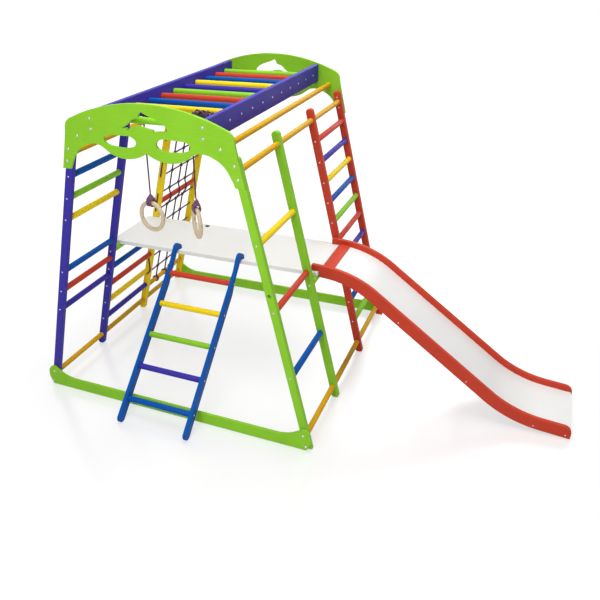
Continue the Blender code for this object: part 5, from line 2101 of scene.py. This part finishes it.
    def build(self) -> None:
        """Make the rails, the cross-piece, the bed, the battens and the screws."""
        body = "slide"
        red = PaintedWood(Colour.RED, Grain.ALONG_X)
        outline = self.rail_outline()
        half = self.thickness / 2
        for name, y in (("front", self.front + half), ("back", self.back - half)):
            rail = Workshop.board([outline], self.thickness, Stand.ACROSS, (0, y, 0), self.edge, 1)
            Workshop.finish(rail, f"slide_{name}_rail", red, body, ["slide_rails"], True)
        start = self.step_x - self.start_x + self.cross_inset
        end = start + self.cross_width
        top = self.line(self.cross_below, start, end)
        under = self.line(self.cross_below + self.cross_thickness, start, end)
        cross = self.across(corners(top + under[::-1]), -self.cross_tenon, self.cross_edge)
        Workshop.finish(cross, "slide_cross_piece", red, body, ["slide_rails"], True)
        bed = self.across(self.bed_outline(end + 2 * self.sizes.gap), self.bed_clearance, self.bed_edge)
        Workshop.finish(bed, "slide_faced_bed", PaleBoard(), body, ["slide_bed"], True)
        middle = self.bed_below + self.bed_thickness + self.batten[1] / 2
        for number, distance in enumerate(self.batten_distances, 1):
            place, slope = self.point(distance, middle)
            turn = Matrix.Rotation(-slope, 2)
            reach = Vector(self.batten) / 2
            signs = ((-1, -1), (1, -1), (1, 1), (-1, 1))
            shape = [place + turn @ Vector((reach[0] * u, reach[1] * v)) for u, v in signs]
            batten = self.across(corners(shape), self.batten_clearance, self.batten_edge)
            Workshop.finish(batten, f"slide_batten_{number}", red, body, ["slide_bed"], True)
        heads = []
        for distance in self.screw_distances:
            place, _ = self.point(distance, middle)
            for y, out in ((self.front, -1), (self.back, 1)):
                heads.append(Workshop.screw((place[0], y, place[1]), (0, out, 0), self.screw))
        Workshop.finish(Workshop.join(heads), "slide_screws", ZincSteel(), body)

    def bed_outline(self, start: float) -> Outline:
        """The bed in X and Z.

        Args:
            start: Distance along the rail at which it starts.

        Returns:
            The closed outline.
        """
        top = self.line(self.bed_below, start)
        under = self.line(self.bed_below + self.bed_thickness, start)
        inset = (top[-2] - top[-1]).normalized() * self.bed_end_inset
        top[-1] = top[-1] + inset
        under[-1] = under[-1] + inset
        return corners(top + under[::-1])


def left_side(sizes: FrameSizes) -> LeaningSide:
    """The left side: two purple posts, two yellow ones and twelve rungs.

    Args:
        sizes: Shared sizes.

    Returns:
        The side.
    """
    rungs = [
        SideRung(f"left_front_rung_{number}", 0, height, colour)
        for number, (height, colour) in enumerate((
            (1.000, Colour.BLUE), (0.909, Colour.GREEN), (0.818, Colour.YELLOW), (0.581, Colour.BLUE),
            (0.488, Colour.RED),
        ), 1)
    ]
    rungs.append(SideRung("left_front_posts", 0, 0.396, Colour.PURPLE))
    rungs += [
        SideRung(f"left_middle_rung_{number}", 1, height, colour)
        for number, (height, colour) in enumerate((
            (sizes.support_rung_z, Colour.GREEN), (0.428, Colour.BLUE), (0.335, Colour.RED),
        ), 1)
    ]
    rungs += [
        SideRung("left_post_3", 1, 0.241, Colour.YELLOW),
        SideRung("left_front_posts", 1, 0.148, Colour.PURPLE),
        SideRung("left_back_rung_1", 2, 0.622, Colour.RED),
    ]
    return LeaningSide(
        sizes, Side.LEFT, ("left_front_posts", "left_front_posts", "left_post_3", "left_post_4"),
        (Colour.PURPLE, Colour.PURPLE, Colour.YELLOW, Colour.YELLOW), tuple(rungs),
    )


def right_side(sizes: FrameSizes) -> LeaningSide:
    """The right side: two green posts, two red ones and fourteen rungs.

    Args:
        sizes: Shared sizes.

    Returns:
        The side.
    """
    rungs = [
        SideRung(f"right_front_rung_{number}", 0, height, colour)
        for number, (height, colour) in enumerate((
            (0.831, Colour.YELLOW), (0.578, Colour.RED), (0.310, Colour.BLUE),
        ), 1)
    ]
    rungs.append(SideRung("right_post_2", 1, sizes.support_rung_z, Colour.GREEN))
    rungs += [
        SideRung(f"right_back_rung_{number}", 2, height, colour)
        for number, (height, colour) in enumerate((
            (0.914, Colour.PURPLE), (0.824, Colour.YELLOW), (0.734, Colour.BLUE), (0.643, Colour.GREEN),
            (0.458, Colour.PURPLE), (0.359, Colour.YELLOW), (0.260, Colour.BLUE), (0.160, Colour.GREEN),
        ), 1)
    ]
    rungs += [SideRung("right_back_posts", 2, height, Colour.RED) for height in (1.004, 0.554)]
    return LeaningSide(
        sizes, Side.RIGHT, ("right_post_1", "right_post_2", "right_back_posts", "right_back_posts"),
        (Colour.GREEN, Colour.GREEN, Colour.RED, Colour.RED), tuple(rungs), spare_hole=0.643,
    )


def main() -> None:
    """Dress the whole climbing frame."""
    logging.basicConfig(level=logging.INFO, format="%(name)s: %(message)s")
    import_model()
    sizes = FrameSizes()
    platform = Platform(sizes)
    for assembly in (
        Studio(), RingSet(sizes), ArchPanels(sizes), BaseBeams(sizes), left_side(sizes), right_side(sizes),
        OverheadLadder(sizes), TieRods(sizes), RopeNet(sizes), platform, HookLadder(sizes, platform),
        SlideBoard(sizes, platform),
    ):
        assembly.build()
        LOG.info("%s is done", type(assembly).__name__)


if __name__ == "__main__":
    main()
